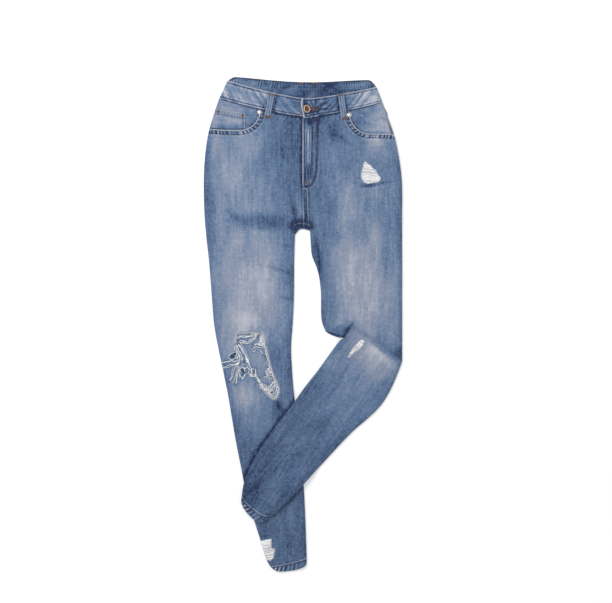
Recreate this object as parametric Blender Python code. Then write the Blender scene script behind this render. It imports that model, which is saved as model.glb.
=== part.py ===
"""Ripped five-pocket jeans, laid flat on their back with the left leg bent across the right.

Sizes are in millimetres and are turned into metres when a mesh is made. The waist points to +Y, the
wearer's right leg lies at -X, and the cloth rests on Z = 0. Each cut piece is one closed wall of cloth:
a flat outline, filled with triangles, then lifted by functions of the place on it. Side seams, inseams
and the turned knee roll over as round edges, and every other edge of a piece is cut square.
"""

import math

import bpy
import numpy as np
from mathutils import Vector
from mathutils.geometry import delaunay_2d_cdt

MM = 0.001

# Walls of cloth and the clearance between pieces.
DENIM = 1.5
FACING = 1.2
BAND = 2.0
LOOP = 1.6
GAP = 0.3

# The flattened tube: the level of its side seams, the swell beside them and the height further in.
EDGE_RADIUS = 5.0
SEAM_LEVEL = 3.2
EDGE_CREST = 6.6
LAID_HEIGHT = 3.6
CREST_FADE = 25.0
EDGE_RINGS = (1.2, EDGE_RADIUS, 17.0)

# What lies under or over the panels and lifts them.
POCKET_LIFT = FACING + GAP
BAND_LIFT = LOOP + GAP
HIP_LIFT = FACING + 2 * GAP
FLY_LIFT = DENIM + GAP
HIP_LIFT_X = {"right": -48.0, "left": 56.0}
HIP_FOOT_Y = 360.0
HIP_RAMP = 14.0
SEAT_FOOT_Y = 190.0
SEAT_RAMP = 30.0
BAND_RAMP_Y = 438.0
BAND_RAMP = 16.0
KNEE_RISE = 5.0
KNEE_CLIMB = 12.0
KNEE_FADE_START = 30.0
KNEE_FADE = 45.0
CROSS_CLEARANCE = 0.7
CROSS_LEDGE = 6.0
CROSS_RAMP = 30.0
CROSS_TOP_Y = -90.0

# Spacing of the points on edges and inside the panels, and how near a line counts as on it.
EDGE_STEP = 32.0
FIELD_STEP = 30.0
EDGE_TAIL = 12.0
KNEE_POINT_ROWS = (0.0, 12.0, 30.0, 52.0)
KNEE_POINT_SHARES = (0.08, 0.27, 0.46, 0.65, 0.84)
CROSS_POINT_ROWS = (-20.0, 0.0, CROSS_LEDGE, 18.0, 30.0)
CROSS_POINT_STEP = 24.0
ON_LINE = 0.001

CENTRE_X = 8.4
WAIST_DIP_POWER = 1.3
FLY_EDGE_X = -1.0
FLY_UNDERLAP_X = 12.0
FLY_RAISE_END_X = 14.0
FLY_RAMP_END_X = 27.0
FLY_BOTTOM_Y = 286.0
FLY_FADE_Y = 268.0
CROTCH_Y = 198.0

# Outseam of the right leg: x, y from the waist seam to the hem.
RIGHT_OUTSEAM = [
    (-176.0, 472.0),
    (-189.5, 432.0),
    (-199.5, 394.0),
    (-206.0, 344.0),
    (-208.0, 290.0),
    (-206.5, 230.0),
    (-203.0, 185.0),
    (-197.0, 130.0),
    (-191.5, 60.0),
    (-186.5, 0.0),
    (-178.0, -48.0),
    (-167.5, -98.0),
    (-157.5, -148.0),
    (-149.0, -198.0),
    (-140.5, -248.0),
    (-130.5, -298.0),
    (-120.0, -350.0),
    (-103.0, -410.0),
    (-89.0, -454.0),
    (-76.5, -494.0),
    (-67.5, -510.0),
]
# Inseam of the right leg: x, y from the hem up to the crotch.
RIGHT_INSEAM = [
    (8.0, -500.0),
    (6.5, -454.0),
    (4.5, -400.0),
    (1.5, -340.0),
    (-3.0, -290.0),
    (-8.0, -240.0),
    (-13.5, -195.0),
    (-19.0, -147.0),
    (-23.0, -97.0),
    (-25.0, -48.0),
    (-21.5, 4.0),
    (-19.0, 60.0),
    (-18.5, 130.0),
    (-17.0, 187.0),
]
RIGHT_HEM = [(-67.5, -510.0), (-52.0, -518.0), (-22.0, -517.0), (3.0, -508.5), (8.0, -500.0)]
RIGHT_CROTCH = [(-17.0, 187.0), (-6.0, 199.0), (CENTRE_X - GAP / 2, CROTCH_Y)]
LEFT_CROTCH = [(CENTRE_X + GAP / 2, CROTCH_Y), (14.7, 195.5)]
# Inseam of the left thigh down to the pleat: x, y.
LEFT_THIGH_INSEAM = [
    (14.7, 195.5),
    (16.5, 165.0),
    (19.0, 143.0),
    (28.0, 120.0),
    (34.0, 97.0),
    (37.5, 65.0),
    (38.0, 20.0),
    (40.5, 2.0),
    (47.5, -15.5),
]
# The turned edge of the left knee, from the inseam to the notch.
KNEE_NOTCH = (105.0, 0.0)
NOTCH_MOUTH = (-0.6, 0.4)
NOTCH_STEP = 9.0
KNEE_CORNER = (208.0, -78.0)
LEFT_LOBE = [(47.5, -15.5), (57.0, -21.5), (73.0, -27.5), (84.2, -28.8), KNEE_NOTCH]
LEFT_SHIN_INSEAM = [
    KNEE_NOTCH,
    (85.4, -29.6),
    (76.0, -35.5),
    (58.8, -58.8),
    (31.5, -96.6),
    (2.0, -134.4),
    (-25.0, -172.0),
    (-53.5, -209.0),
    (-80.0, -247.0),
    (-104.0, -286.0),
    (-122.5, -328.0),
    (-129.4, -367.5),
]
LEFT_HEM = [
    (-129.4, -367.5),
    (-127.5, -378.0),
    (-117.5, -394.0),
    (-103.0, -408.0),
    (-89.0, -414.0),
    (-80.0, -409.5),
    (-71.4, -403.2),
]
LEFT_SHIN_OUTSEAM = [
    (-71.4, -403.2),
    (-55.6, -393.0),
    (-21.0, -359.0),
    (10.5, -325.0),
    (35.7, -298.0),
    (58.8, -273.0),
    (81.9, -248.0),
    (107.0, -222.6),
    (136.5, -197.4),
    (161.7, -172.2),
    (178.5, -147.0),
    (191.0, -121.8),
    (201.0, -97.0),
    KNEE_CORNER,
]
LEFT_THIGH_OUTSEAM = [
    KNEE_CORNER,
    (208.0, -20.0),
    (208.0, 60.0),
    (208.0, 150.0),
    (207.5, 220.0),
    (207.5, 290.0),
    (202.0, 344.0),
    (191.5, 394.0),
    (178.5, 432.0),
    (166.5, 464.0),
]

# Waist seam and top edge of the waistband: the depth of the dip at the front and its ends.
FRONT_SEAM_DIP_Y = 432.6
FRONT_TOP_DIP_Y = 472.0
BACK_SEAM_RISE = 3.0
BACK_TOP_SAG = 8.0
BAND_FOLDS = {"right": ((-158.5, 510.0), (-176.0, 472.0)), "left": ((154.5, 496.5), (166.5, 464.0))}
BACK_TOP_ENDS = ((-140.0, 519.0), (138.0, 512.0))
BAND_FOLD_LEVEL = 3.4
BAND_LAID = BAND_LIFT + 2 * BAND + GAP + 1.0
BAND_SWELL = 1.5
BAND_END_X = -6.0
BAND_UNDERLAP_X = 14.0
BAND_LAP_START = 2.0
BAND_LAP_RAMP = 14.0
BAND_ROWS = (0.0, 0.33, 0.67, 1.0)
BAND_CORNER = 0.12
WAIST_STATIONS = [-160, -140, -120, -105, -90, -76, -60, -40, -20, 30, 50, 70, 83, 97, 112, 130, 150]

# Pocket mouths: where each leaves the waist seam, how far it swings out and drops, and its side end.
SCOOPS = {
    "right": {"seam_x": -90.0, "reach": 44.0, "side": (-196.0, 408.0), "bottom_y": 406.0},
    "left": {"seam_x": 97.0, "reach": 42.0, "side": (190.5, 397.0), "bottom_y": 399.0},
}
FACING_OVERLAP = 14.0
FACING_STEP = 15.0
CORNER_EASE = 0.7
COIN_POCKET = {"top_out_y": 446.0, "top_in_y": 438.5, "in_x": -121.0, "margin": 1.2}

YOKE_CENTRE_Y = 402.0
YOKE_SIDE = {"right": (-189.5, 432.0), "left": (178.5, 432.0)}
CENTRE_BACK_X = 6.0

BACK_POCKET = {"width": 118.0, "foot_width": 102.0, "side": 118.0, "point": 16.0, "top_y": 386.0}
BACK_POCKET_X = {"right": -92.0, "left": 100.0}

# Torn opening over the right knee: x, y round its edge.
KNEE_RIP = [
    (-136.5, -21.0),
    (-139.0, -38.0),
    (-138.0, -56.0),
    (-126.0, -80.0),
    (-113.0, -107.0),
    (-98.0, -111.5),
    (-87.5, -128.5),
    (-70.5, -146.5),
    (-60.5, -155.0),
    (-53.5, -140.0),
    (-58.5, -122.0),
    (-66.0, -104.0),
    (-71.0, -89.0),
    (-76.0, -67.0),
    (-83.0, -41.0),
    (-88.5, -19.0),
    (-116.0, -17.0),
]

# Largest soft folds of the fronts: ends, height and half width.
FOLDS = [
    {"start": (-160.0, 262.0), "end": (-118.0, 222.0), "rise": 2.2, "spread": 20.0},
    {"start": (-118.0, 222.0), "end": (-42.0, 216.0), "rise": 2.4, "spread": 20.0},
    {"start": (60.0, 395.0), "end": (96.0, 350.0), "rise": 1.8, "spread": 18.0},
    {"start": (50.0, 12.0), "end": (92.0, 4.0), "rise": 1.6, "spread": 15.0},
    {"start": (-58.0, -170.0), "end": (-40.0, -205.0), "rise": 1.8, "spread": 15.0},
]

# Hidden layers of the knee's pleat: rim as share along the fold line and distance past it, rings of
# the rounded top as size and height shares, how far they fill the hollow, and the size of the foot.
KNEE_FOLD_RIM = [
    (0.09, 14.0),
    (0.07, 19.0),
    (0.07, 25.0),
    (0.1, 31.0),
    (0.18, 33.0),
    (0.34, 29.0),
    (0.5, 20.0),
    (0.52, 15.0),
    (0.4, 13.0),
    (0.25, 12.5),
]
KNEE_FOLD_RINGS = [(1.0, 0.45), (0.93, 0.8), (0.8, 1.0), (0.5, 1.0)]
KNEE_FOLD_FILL = 0.8
KNEE_FOLD_FOOT = 0.96

# Belt loops: the middle of each top and foot, and which face of the band it is on.
LOOP_WIDTH = 12.6
LOOPS = [
    {"name": "loop_front_right", "top": (-65.5, 483.0), "foot": (-75.0, 430.5), "on": "front"},
    {"name": "loop_front_left", "top": (79.0, 482.0), "foot": (87.0, 428.0), "on": "front"},
    {"name": "loop_side_right", "top": (-112.0, 512.0), "foot": (-116.0, 462.0), "on": "back"},
    {"name": "loop_side_left", "top": (112.0, 507.0), "foot": (118.0, 459.0), "on": "back"},
    {"name": "loop_back_right", "top": (-7.5, 507.0), "foot": (-7.5, 462.0), "on": "back"},
    {"name": "loop_back_left", "top": (23.0, 507.0), "foot": (23.0, 462.0), "on": "back"},
]
LOOP_STATIONS = 7
LOOP_ARCH = 0.9
LOOP_ARCH_END = 0.7
LOOP_FOOT_RAMP = (4.5, 3.5)

BUTTON = {"x": 8.4, "y": 452.6, "radius": 8.8, "height": 3.4, "rim": 1.6}
RIVET = {"radius": 5.2, "height": 2.2, "rim": 0.9}
RIVET_PLACES = {"rivet_right": (-90.5, 443.5), "rivet_left": (97.5, 438.0)}
ROUND_SIDES = 20

COLOURS = {
    "denim": ((0.21, 0.30, 0.44, 1.0), 0.9, 0.0),
    "denim_inside": ((0.30, 0.38, 0.50, 1.0), 0.9, 0.0),
    "copper": ((0.42, 0.24, 0.15, 1.0), 0.4, 1.0),
    "nickel": ((0.72, 0.72, 0.70, 1.0), 0.3, 1.0),
}


# Curves and distances -------------------------------------------------------------------------


def smooth(t):
    t = np.clip(t, 0.0, 1.0)
    return t * t * (3.0 - 2.0 * t)


def curve(points, step=EDGE_STEP, keep_first=0):
    """A Catmull-Rom curve through the points. The first keep_first spans stay straight."""
    pts = [np.array(p, float) for p in points]
    out = [pts[0]]
    for i in range(len(pts) - 1):
        before = pts[i - 1] if i > 0 else 2 * pts[i] - pts[i + 1]
        after = pts[i + 2] if i + 2 < len(pts) else 2 * pts[i + 1] - pts[i]
        count = max(1, int(np.linalg.norm(pts[i + 1] - pts[i]) / step + 0.5))
        for k in range(1, count + 1):
            t = k / count
            if i < keep_first:
                out.append(pts[i] + t * (pts[i + 1] - pts[i]))
                continue
            a = 2 * pts[i]
            b = pts[i + 1] - before
            c = 2 * before - 5 * pts[i] + 4 * pts[i + 1] - after
            e = 3 * pts[i] - before - 3 * pts[i + 1] + after
            out.append(0.5 * (a + b * t + c * t * t + e * t * t * t))
    return np.array(out)


def nearest(points, lines):
    """Each point's distance to the lines and the unit direction away from them, to their left."""
    best = np.full(len(points), 1e9)
    away = np.zeros((len(points), 2))
    for line in lines:
        for a, b in zip(line[:-1], line[1:]):
            span = b - a
            t = np.clip((points - a) @ span / (span @ span), 0.0, 1.0)
            foot = a + t[:, None] * span
            d = np.linalg.norm(points - foot, axis=1)
            left = np.array([-span[1], span[0]]) / np.linalg.norm(span)
            turn = np.where(d[:, None] > ON_LINE, (points - foot) / np.maximum(d, ON_LINE)[:, None], left)
            near = d < best - 1e-9
            best = np.where(near, d, best)
            away = np.where(near[:, None], turn, away)
    return best, away


def inside(points, loop):
    """True for each point that lies inside the closed loop."""
    found = np.zeros(len(points), bool)
    x, y = points[:, 0], points[:, 1]
    for a, b in zip(loop, np.roll(loop, -1, axis=0)):
        crosses = (a[1] > y) != (b[1] > y)
        rise = b[1] - a[1] if b[1] != a[1] else 1e-12
        found ^= crosses & (x < (b[0] - a[0]) * (y - a[1]) / rise + a[0])
    return found


def waist_dip(x, low_y, which):
    """Height of a waist edge that dips from the two band folds to the middle of the front."""
    left_end, right_end = BAND_FOLDS["right"][which], BAND_FOLDS["left"][which]
    x = np.asarray(x, float)
    end_x = np.where(x < CENTRE_X, left_end[0], right_end[0])
    end_y = np.where(x < CENTRE_X, left_end[1], right_end[1])
    share = np.abs(x - CENTRE_X) / np.abs(end_x - CENTRE_X)
    return low_y + (end_y - low_y) * share**WAIST_DIP_POWER


def front_seam_y(x):
    return waist_dip(x, FRONT_SEAM_DIP_Y, 1)


def back_seam_y(x):
    (x0, y0), (x1, y1) = BAND_FOLDS["right"][1], BAND_FOLDS["left"][1]
    share = (np.asarray(x, float) - x0) / (x1 - x0)
    return y0 + (y1 - y0) * share + BACK_SEAM_RISE * 4 * share * (1 - share)


def stations(x0, x1):
    """Shared places along the waist from x0 to x1, so that neighbours there have the same corners."""
    shared = WAIST_STATIONS + [FLY_EDGE_X, FLY_UNDERLAP_X]
    shared += [BAND_FOLDS["right"][1][0] + d for d in EDGE_RINGS]
    shared += [BAND_FOLDS["left"][1][0] - d for d in EDGE_RINGS]
    low, high = min(x0, x1), max(x0, x1)
    inner = [float(x) for x in shared if low + 1.0 < x < high - 1.0]
    found = [low] + sorted(inner) + [high]
    return np.array(found if x0 < x1 else found[::-1])


def waist_line(x0, x1, seam_y):
    xs = stations(x0, x1)
    return np.stack([xs, seam_y(xs) - GAP], axis=1)


def scoop_line(side):
    """Pocket mouth from the waist seam to the outseam: a quarter round, then nearly level."""
    mouth = SCOOPS[side]
    top_y = float(front_seam_y(mouth["seam_x"])) - GAP
    out = math.copysign(1.0, mouth["side"][0])
    drop = top_y - mouth["bottom_y"]
    points = []
    for turn in np.radians([0, 18, 36, 54, 72, 90]):
        x = mouth["seam_x"] + out * mouth["reach"] * (1 - math.cos(turn))
        points.append((x, top_y - drop * math.sin(turn)))
    bend_x = points[-1][0]
    for share in (0.45, 1.0):
        x = bend_x + share * (mouth["side"][0] - bend_x)
        points.append((x, mouth["bottom_y"] + share**2 * (mouth["side"][1] - mouth["bottom_y"])))
    return np.array(points)


# Heights --------------------------------------------------------------------------------------


def torso_base(p):
    """Lift of the underside where back pockets and loops lie below it."""
    seat = smooth((p[:, 1] - SEAT_FOOT_Y) / SEAT_RAMP)
    band = smooth((p[:, 1] - BAND_RAMP_Y) / BAND_RAMP)
    return POCKET_LIFT * seat + (BAND_LIFT - POCKET_LIFT) * band


def hip_lift(p):
    """Room for the facings behind the pocket mouths."""
    x, y = p[:, 0], p[:, 1]
    right = smooth((HIP_LIFT_X["right"] - x) / HIP_RAMP)
    left = smooth((x - HIP_LIFT_X["left"]) / HIP_RAMP)
    return HIP_LIFT * np.maximum(right, left) * smooth((y - HIP_FOOT_Y) / HIP_RAMP)


def fly_lift(p):
    """Room for the right front's underlap beneath the fly."""
    x, y = p[:, 0], p[:, 1]
    across = 1 - smooth((x - FLY_RAISE_END_X) / (FLY_RAMP_END_X - FLY_RAISE_END_X))
    return FLY_LIFT * across * smooth((y - FLY_FADE_Y) / (FLY_BOTTOM_Y - FLY_FADE_Y))


def folds(p):
    """Soft ridges of the largest folds."""
    rise = np.zeros(len(p))
    for fold in FOLDS:
        d, _ = nearest(p, [np.array([fold["start"], fold["end"]], float)])
        rise = np.maximum(rise, fold["rise"] * (1 - smooth(d / fold["spread"])))
    return rise


def crown(d):
    """Height of the upper face above the underside, from the distance to a rolled edge."""
    return LAID_HEIGHT + (EDGE_CREST - LAID_HEIGHT) * (1 - smooth((d - EDGE_RADIUS) / CREST_FADE))


def over_right_leg(p):
    """Height at which cloth clears the right leg that it lies across."""
    inseam = curve(RIGHT_INSEAM)
    d, _ = nearest(p, [inseam])
    past = np.where(p[:, 0] > np.interp(p[:, 1], inseam[:, 1], inseam[:, 0]), d, 0.0)
    return (EDGE_CREST + CROSS_CLEARANCE) * (1 - smooth((past - CROSS_LEDGE) / CROSS_RAMP))


def knee_frame(p):
    """Place along the knee's fold line, from notch to corner, and the distance past it to the shin."""
    notch, corner = np.array(KNEE_NOTCH), np.array(KNEE_CORNER)
    length = np.linalg.norm(corner - notch)
    along = (corner - notch) / length
    past = np.array([along[1], -along[0]])
    rel = p - notch
    return rel @ along / length, rel @ past


def on_shin(p):
    """True past the knee's fold line, and on the shin's side of the notch."""
    _, past = knee_frame(p)
    rel = p - np.array(KNEE_NOTCH)
    edge = np.array(LEFT_SHIN_INSEAM[1]) - np.array(KNEE_NOTCH)
    beside = edge[0] * rel[:, 1] - edge[1] * rel[:, 0]
    return (past > 0) & ((beside > -1e-6) | (p[:, 1] < LEFT_SHIN_INSEAM[1][1]))


def knee_rise(p):
    """Lift of the shin over the pleat's hidden layers, most at the notch and none at the corner."""
    share, past = knee_frame(p)
    fade = 1 - smooth((past - KNEE_FADE_START) / KNEE_FADE)
    return KNEE_RISE * np.clip(1 - share, 0, 1) * smooth(past / KNEE_CLIMB) * fade


def left_base(p):
    """Underside of the left half: the torso and thigh, or the shin over the pleat and right leg."""
    shin = np.maximum(knee_rise(p), over_right_leg(p) * (p[:, 1] < CROSS_TOP_Y))
    return np.where(on_shin(p), shin, torso_base(p))


# Pieces ---------------------------------------------------------------------------------------


def material(name):
    colour, roughness, metallic = COLOURS[name]
    made = bpy.data.materials.new(name)
    made.use_nodes = True
    shader = made.node_tree.nodes["Principled BSDF"]
    shader.inputs["Base Color"].default_value = colour
    shader.inputs["Roughness"].default_value = roughness
    shader.inputs["Metallic"].default_value = metallic
    return made


def add_object(name, points, faces, finish):
    mesh = bpy.data.meshes.new(name)
    mesh.from_pydata([tuple(MM * c for c in p) for p in points], [], faces)
    mesh.materials.append(finish.copy())
    mesh.materials[0].name = name
    mesh.validate()
    made = bpy.data.objects.new(name, mesh)
    bpy.context.scene.collection.objects.link(made)
    return made


def fill(outline, holes, rolled, extra):
    """Triangles that fill an outline, with rings beside its rolled edges and a field of points."""
    loops = [outline] + holes
    points = [tuple(p) for loop in loops for p in loop]
    edges, start = [], 0
    for loop in loops:
        edges += [(start + i, start + (i + 1) % len(loop)) for i in range(len(loop))]
        start += len(loop)
    closed = [np.vstack([loop, loop[:1]]) for loop in loops]
    for offset in EDGE_RINGS:
        for line in rolled:
            tangent = np.gradient(line, axis=0)
            tangent /= np.linalg.norm(tangent, axis=1)[:, None]
            ring = line + offset * np.stack([-tangent[:, 1], tangent[:, 0]], axis=1)
            d, _ = nearest(ring, closed)
            keep = in_piece(ring, loops) & (d > 0.85 * offset)
            first = len(points)
            numbers = np.cumsum(keep) - 1 + first
            points += [tuple(p) for p in ring[keep]]
            pairs = [i for i in range(len(ring) - 1) if keep[i] and keep[i + 1]]
            edges += [(int(numbers[i]), int(numbers[i + 1])) for i in pairs]
    low, high = outline.min(axis=0), outline.max(axis=0)
    columns = np.arange(math.floor(low[0] / FIELD_STEP), high[0] / FIELD_STEP + 1) * FIELD_STEP
    rows = np.arange(math.floor(low[1] / FIELD_STEP), high[1] / FIELD_STEP + 1) * FIELD_STEP
    field = np.array([(x, y) for y in rows for x in columns] + list(extra))
    d_edge, _ = nearest(field, closed)
    d_roll, _ = nearest(field, rolled)
    lattice = np.arange(len(field)) < len(rows) * len(columns)
    room = np.where(lattice, 0.3 * FIELD_STEP, 3.0)
    keep = in_piece(field, loops) & (d_edge > room) & (d_roll > EDGE_RADIUS + room)
    points += [tuple(p) for p in field[keep]]
    found, _, faces, _, _, _ = delaunay_2d_cdt([Vector(p) for p in points], edges, [], 0, 1e-5)
    plan = np.array([tuple(p) for p in found])
    faces = np.array(faces)
    middles = plan[faces].mean(axis=1)
    return plan, faces[in_piece(middles, loops)]


def in_piece(points, loops):
    found = inside(points, loops[0])
    for hole in loops[1:]:
        found &= ~inside(points, hole)
    return found


def face_points(plan, rolled, base, lift, level, upper):
    """The plan raised to the upper or under face of a laid tube, moved out by level."""
    d, away = nearest(plan, rolled)
    turn = np.clip(1 - d / EDGE_RADIUS, 0, 1)
    up = np.sqrt(1 - turn * turn)
    if upper:
        seam = SEAM_LEVEL + GAP
        reach = crown(d) + lift - seam
        height = base + seam + reach * up
    else:
        reach = np.full(len(plan), SEAM_LEVEL)
        height = base + SEAM_LEVEL * (1 - up)
    out, rise = turn / EDGE_RADIUS, up / reach
    size = np.sqrt(out * out + rise * rise)
    sign = 1.0 if upper else -1.0
    moved = plan - away * (level * out / size)[:, None]
    return np.column_stack([moved, height + sign * level * rise / size])


def wall(name, plan, faces, outer, inner, upper, finish):
    """A closed wall of cloth between two faces with the same triangles."""
    count = len(plan)
    used = {}
    for a, b, c in faces:
        for pair in ((a, b), (b, c), (c, a)):
            used[pair] = True
    rim = [pair for pair in used if (pair[1], pair[0]) not in used]
    flip = 1 if upper else -1
    solid = [tuple(int(i) for i in f[::flip]) for f in faces]
    solid += [tuple(int(i) + count for i in f[::-flip]) for f in faces]
    for a, b in rim:
        quad = (int(b), int(a), int(a) + count, int(b) + count)
        solid.append(quad if upper else quad[::-1])
    return add_object(name, np.vstack([outer, inner]), solid, finish)


def beside_rolls(line, at_start, at_end):
    """A cut edge with a corner at each ring's distance from the rolled edges it meets."""
    run = np.concatenate([[0.0], np.cumsum(np.linalg.norm(np.diff(line, axis=0), axis=1))])
    extra = [d for d in EDGE_RINGS if at_start] + [run[-1] - d for d in EDGE_RINGS if at_end]
    extra = [d for d in extra if 0.5 < d < run[-1] - 0.5 and np.abs(run - d).min() > 0.5]
    places = np.sort(np.concatenate([run, extra]))
    return np.stack([np.interp(places, run, line[:, i]) for i in (0, 1)], axis=1)


def lengthened(line, at_start, at_end):
    """A rolled edge with a straight tail past each end that meets a cut edge."""
    head = line[0] - (line[1] - line[0]) * EDGE_TAIL / np.linalg.norm(line[1] - line[0])
    tail = line[-1] + (line[-1] - line[-2]) * EDGE_TAIL / np.linalg.norm(line[-1] - line[-2])
    return np.vstack([[head]] * at_start + [line] + [[tail]] * at_end)


def panel(name, edges, finish, upper, base, lift=None, holes=(), thick=DENIM, level=0.0, extra=()):
    """One cut piece. edges go round it anticlockwise as (line, rolled) pairs."""
    rolled, lines = [], []
    for number, (line, is_rolled) in enumerate(edges):
        before, after = edges[number - 1][1], edges[(number + 1) % len(edges)][1]
        lines.append(line if is_rolled else beside_rolls(line, before, after))
        if is_rolled:
            rolled.append(lengthened(line, not before, not after))
    outline = np.vstack([line[:-1] for line in lines])
    plan, faces = fill(outline, list(holes), rolled, extra)
    lifted = lift(plan) if lift else np.zeros(len(plan))
    below = base(plan)
    outer = face_points(plan, rolled, below, lifted, level, upper)
    inner = face_points(plan, rolled, below, lifted, level - thick, upper)
    return wall(name, plan, faces, outer, inner, upper, finish)


def right_lift(p):
    return hip_lift(p) + folds(p)


def left_lift(p):
    return hip_lift(p) + fly_lift(p) + folds(p)


def between(line, start, end):
    """The stretch of a curve that runs between two of its points' heights."""
    keep = (line[:, 1] <= max(start, end) + 1e-6) & (line[:, 1] >= min(start, end) - 1e-6)
    return line[keep]


def centre_line(x, top_y):
    """Centre seam down to the crotch, a little aslant below the fly."""
    foot = np.array([CENTRE_X + (GAP / 2 if x > FLY_EDGE_X - GAP / 2 else -GAP / 2), CROTCH_Y])
    head = np.array([x, top_y])
    return np.array([head + (foot - head) * share for share in np.linspace(0, 1, 5)])


def right_sides():
    outseam = curve(RIGHT_OUTSEAM)
    return outseam, curve(RIGHT_INSEAM), curve(RIGHT_CROTCH, keep_first=1), curve(RIGHT_HEM)


def make_front_right(finish):
    outseam, inseam, crotch, hem = right_sides()
    mouth = scoop_line("right")
    top = waist_line(FLY_UNDERLAP_X, SCOOPS["right"]["seam_x"], front_seam_y)
    mouth[-1] = on_outseam(outseam, mouth[-1][1])
    foot = facing_foot("right")
    side = np.vstack([mouth[-1:], foot[:1], between(outseam, foot[0][1] - 6.0, -600.0)])
    seam_x = FLY_EDGE_X - GAP
    centre = centre_line(seam_x, FLY_BOTTOM_Y - 6.0)[::-1]
    step = np.array([centre[-1], (seam_x, FLY_BOTTOM_Y + 4.0), (FLY_UNDERLAP_X, FLY_BOTTOM_Y + 8.0)])
    fly = np.array([(FLY_UNDERLAP_X, y) for y in np.linspace(FLY_BOTTOM_Y + 8.0, top[0][1], 6)])
    edges = [(top, False), (mouth, False), (side, True), (hem, False), (inseam, True)]
    edges += [(crotch, True), (centre, False), (step, False), (fly, False)]
    rip = np.array(KNEE_RIP)[::-1]
    along = fold_points() + [tuple(p) for p in foot]
    return panel("front_right", edges, finish, True, torso_base, right_lift, [rip], extra=along)


def on_outseam(line, y):
    """The point of an outseam at a height."""
    order = np.argsort(line[:, 1])
    return np.array([np.interp(y, line[order, 1], line[order, 0]), y])


def fold_points():
    """Points along the folds and beside the fly's step, where the heights turn."""
    found = []
    for fold in FOLDS:
        start, end = np.array(fold["start"]), np.array(fold["end"])
        count = max(2, int(np.linalg.norm(end - start) / FIELD_STEP) + 1)
        found += [tuple(start + (end - start) * s) for s in np.linspace(0, 1, count)]
    return found


def fly_points():
    ys = np.linspace(FLY_FADE_Y, FRONT_SEAM_DIP_Y - 5.0, 7)
    return [(x, y) for y in ys for x in (FLY_RAISE_END_X, FLY_RAMP_END_X)]


def left_sides():
    thigh_in = curve(LEFT_THIGH_INSEAM)
    lobe = curve(LEFT_LOBE, step=NOTCH_STEP)
    lobe[-1] = np.array(KNEE_NOTCH) + np.array(NOTCH_MOUTH)
    return {
        "inseam": np.vstack([thigh_in[:-1], lobe]),
        "notch": np.array([lobe[-1], np.array(KNEE_NOTCH)]),
        "shin_in": np.vstack([curve(LEFT_SHIN_INSEAM[:2], NOTCH_STEP)[:-1], curve(LEFT_SHIN_INSEAM[1:])]),
        "hem": curve(LEFT_HEM),
        "shin_out": curve(LEFT_SHIN_OUTSEAM),
        "thigh_out": curve(LEFT_THIGH_OUTSEAM),
        "crotch": curve(LEFT_CROTCH, keep_first=1),
    }


def knee_points():
    """Points beside the knee's fold line, where the shin climbs over the pleat."""
    notch, corner = np.array(KNEE_NOTCH), np.array(KNEE_CORNER)
    along = corner - notch
    past = np.array([along[1], -along[0]]) / np.linalg.norm(along)
    spots = [(share, d) for d in KNEE_POINT_ROWS for share in KNEE_POINT_SHARES]
    return [tuple(notch + share * along + d * past) for share, d in spots]


def cross_points():
    """Points beside the right leg's inseam, where the shin climbs onto it."""
    inseam = curve(RIGHT_INSEAM, step=CROSS_POINT_STEP)
    tangent = np.gradient(inseam, axis=0)
    tangent /= np.linalg.norm(tangent, axis=1)[:, None]
    out = np.stack([tangent[:, 1], -tangent[:, 0]], axis=1)
    return [tuple(p + n * d) for p, n in zip(inseam, out) for d in CROSS_POINT_ROWS]


def make_front_left(finish):
    side = left_sides()
    mouth = scoop_line("left")
    outseam = side["thigh_out"]
    mouth[-1] = on_outseam(outseam, mouth[-1][1])
    foot = facing_foot("left")
    outer = np.vstack([between(outseam, -600.0, foot[0][1] - 6.0), foot[:1], mouth[-1:]])
    top = waist_line(SCOOPS["left"]["seam_x"], FLY_EDGE_X, front_seam_y)
    fly = np.array([(FLY_EDGE_X, y) for y in np.linspace(top[-1][1], FLY_BOTTOM_Y - 6.0, 6)])
    centre = centre_line(FLY_EDGE_X, FLY_BOTTOM_Y - 6.0)
    edges = [(mouth[::-1], False), (top, False), (fly, False), (centre, False)]
    edges += [(side["crotch"], True), (side["inseam"], True), (side["notch"], True)]
    edges += [(side["shin_in"], True), (side["hem"], False), (side["shin_out"], True), (outer, True)]
    along = fold_points() + fly_points() + knee_points() + cross_points()
    along += [tuple(p) for p in foot]
    return panel("front_left", edges, finish, True, left_base, left_lift, extra=along)


def yoke_line(side):
    """Yoke seam from the centre back out to the outseam."""
    end = np.array(YOKE_SIDE[side])
    start = np.array([CENTRE_BACK_X, YOKE_CENTRE_Y])
    return np.array([start + (end - start) * s for s in np.linspace(0, 1, 6)])


def back_centre(top_y, shift):
    foot = np.array([CENTRE_X + shift, CROTCH_Y])
    head = np.array([CENTRE_BACK_X + shift, top_y])
    return np.array([head + (foot - head) * share for share in np.linspace(0, 1, 7)])


def make_back_right(finish):
    outseam, inseam, crotch, hem = right_sides()
    seam = yoke_line("right") - np.array([0.0, GAP])
    seam[0][0] -= GAP / 2
    seam[-1] = on_outseam(outseam, seam[-1][1] - CORNER_EASE)
    side = np.vstack([seam[-1:], between(outseam, seam[-1][1] - 6.0, -600.0)])
    centre = back_centre(seam[0][1], -GAP / 2)[::-1]
    edges = [(seam, False), (side, True), (hem, False), (inseam, True), (crotch, True), (centre, False)]
    return panel("back_right", edges, finish, False, torso_base)


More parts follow.
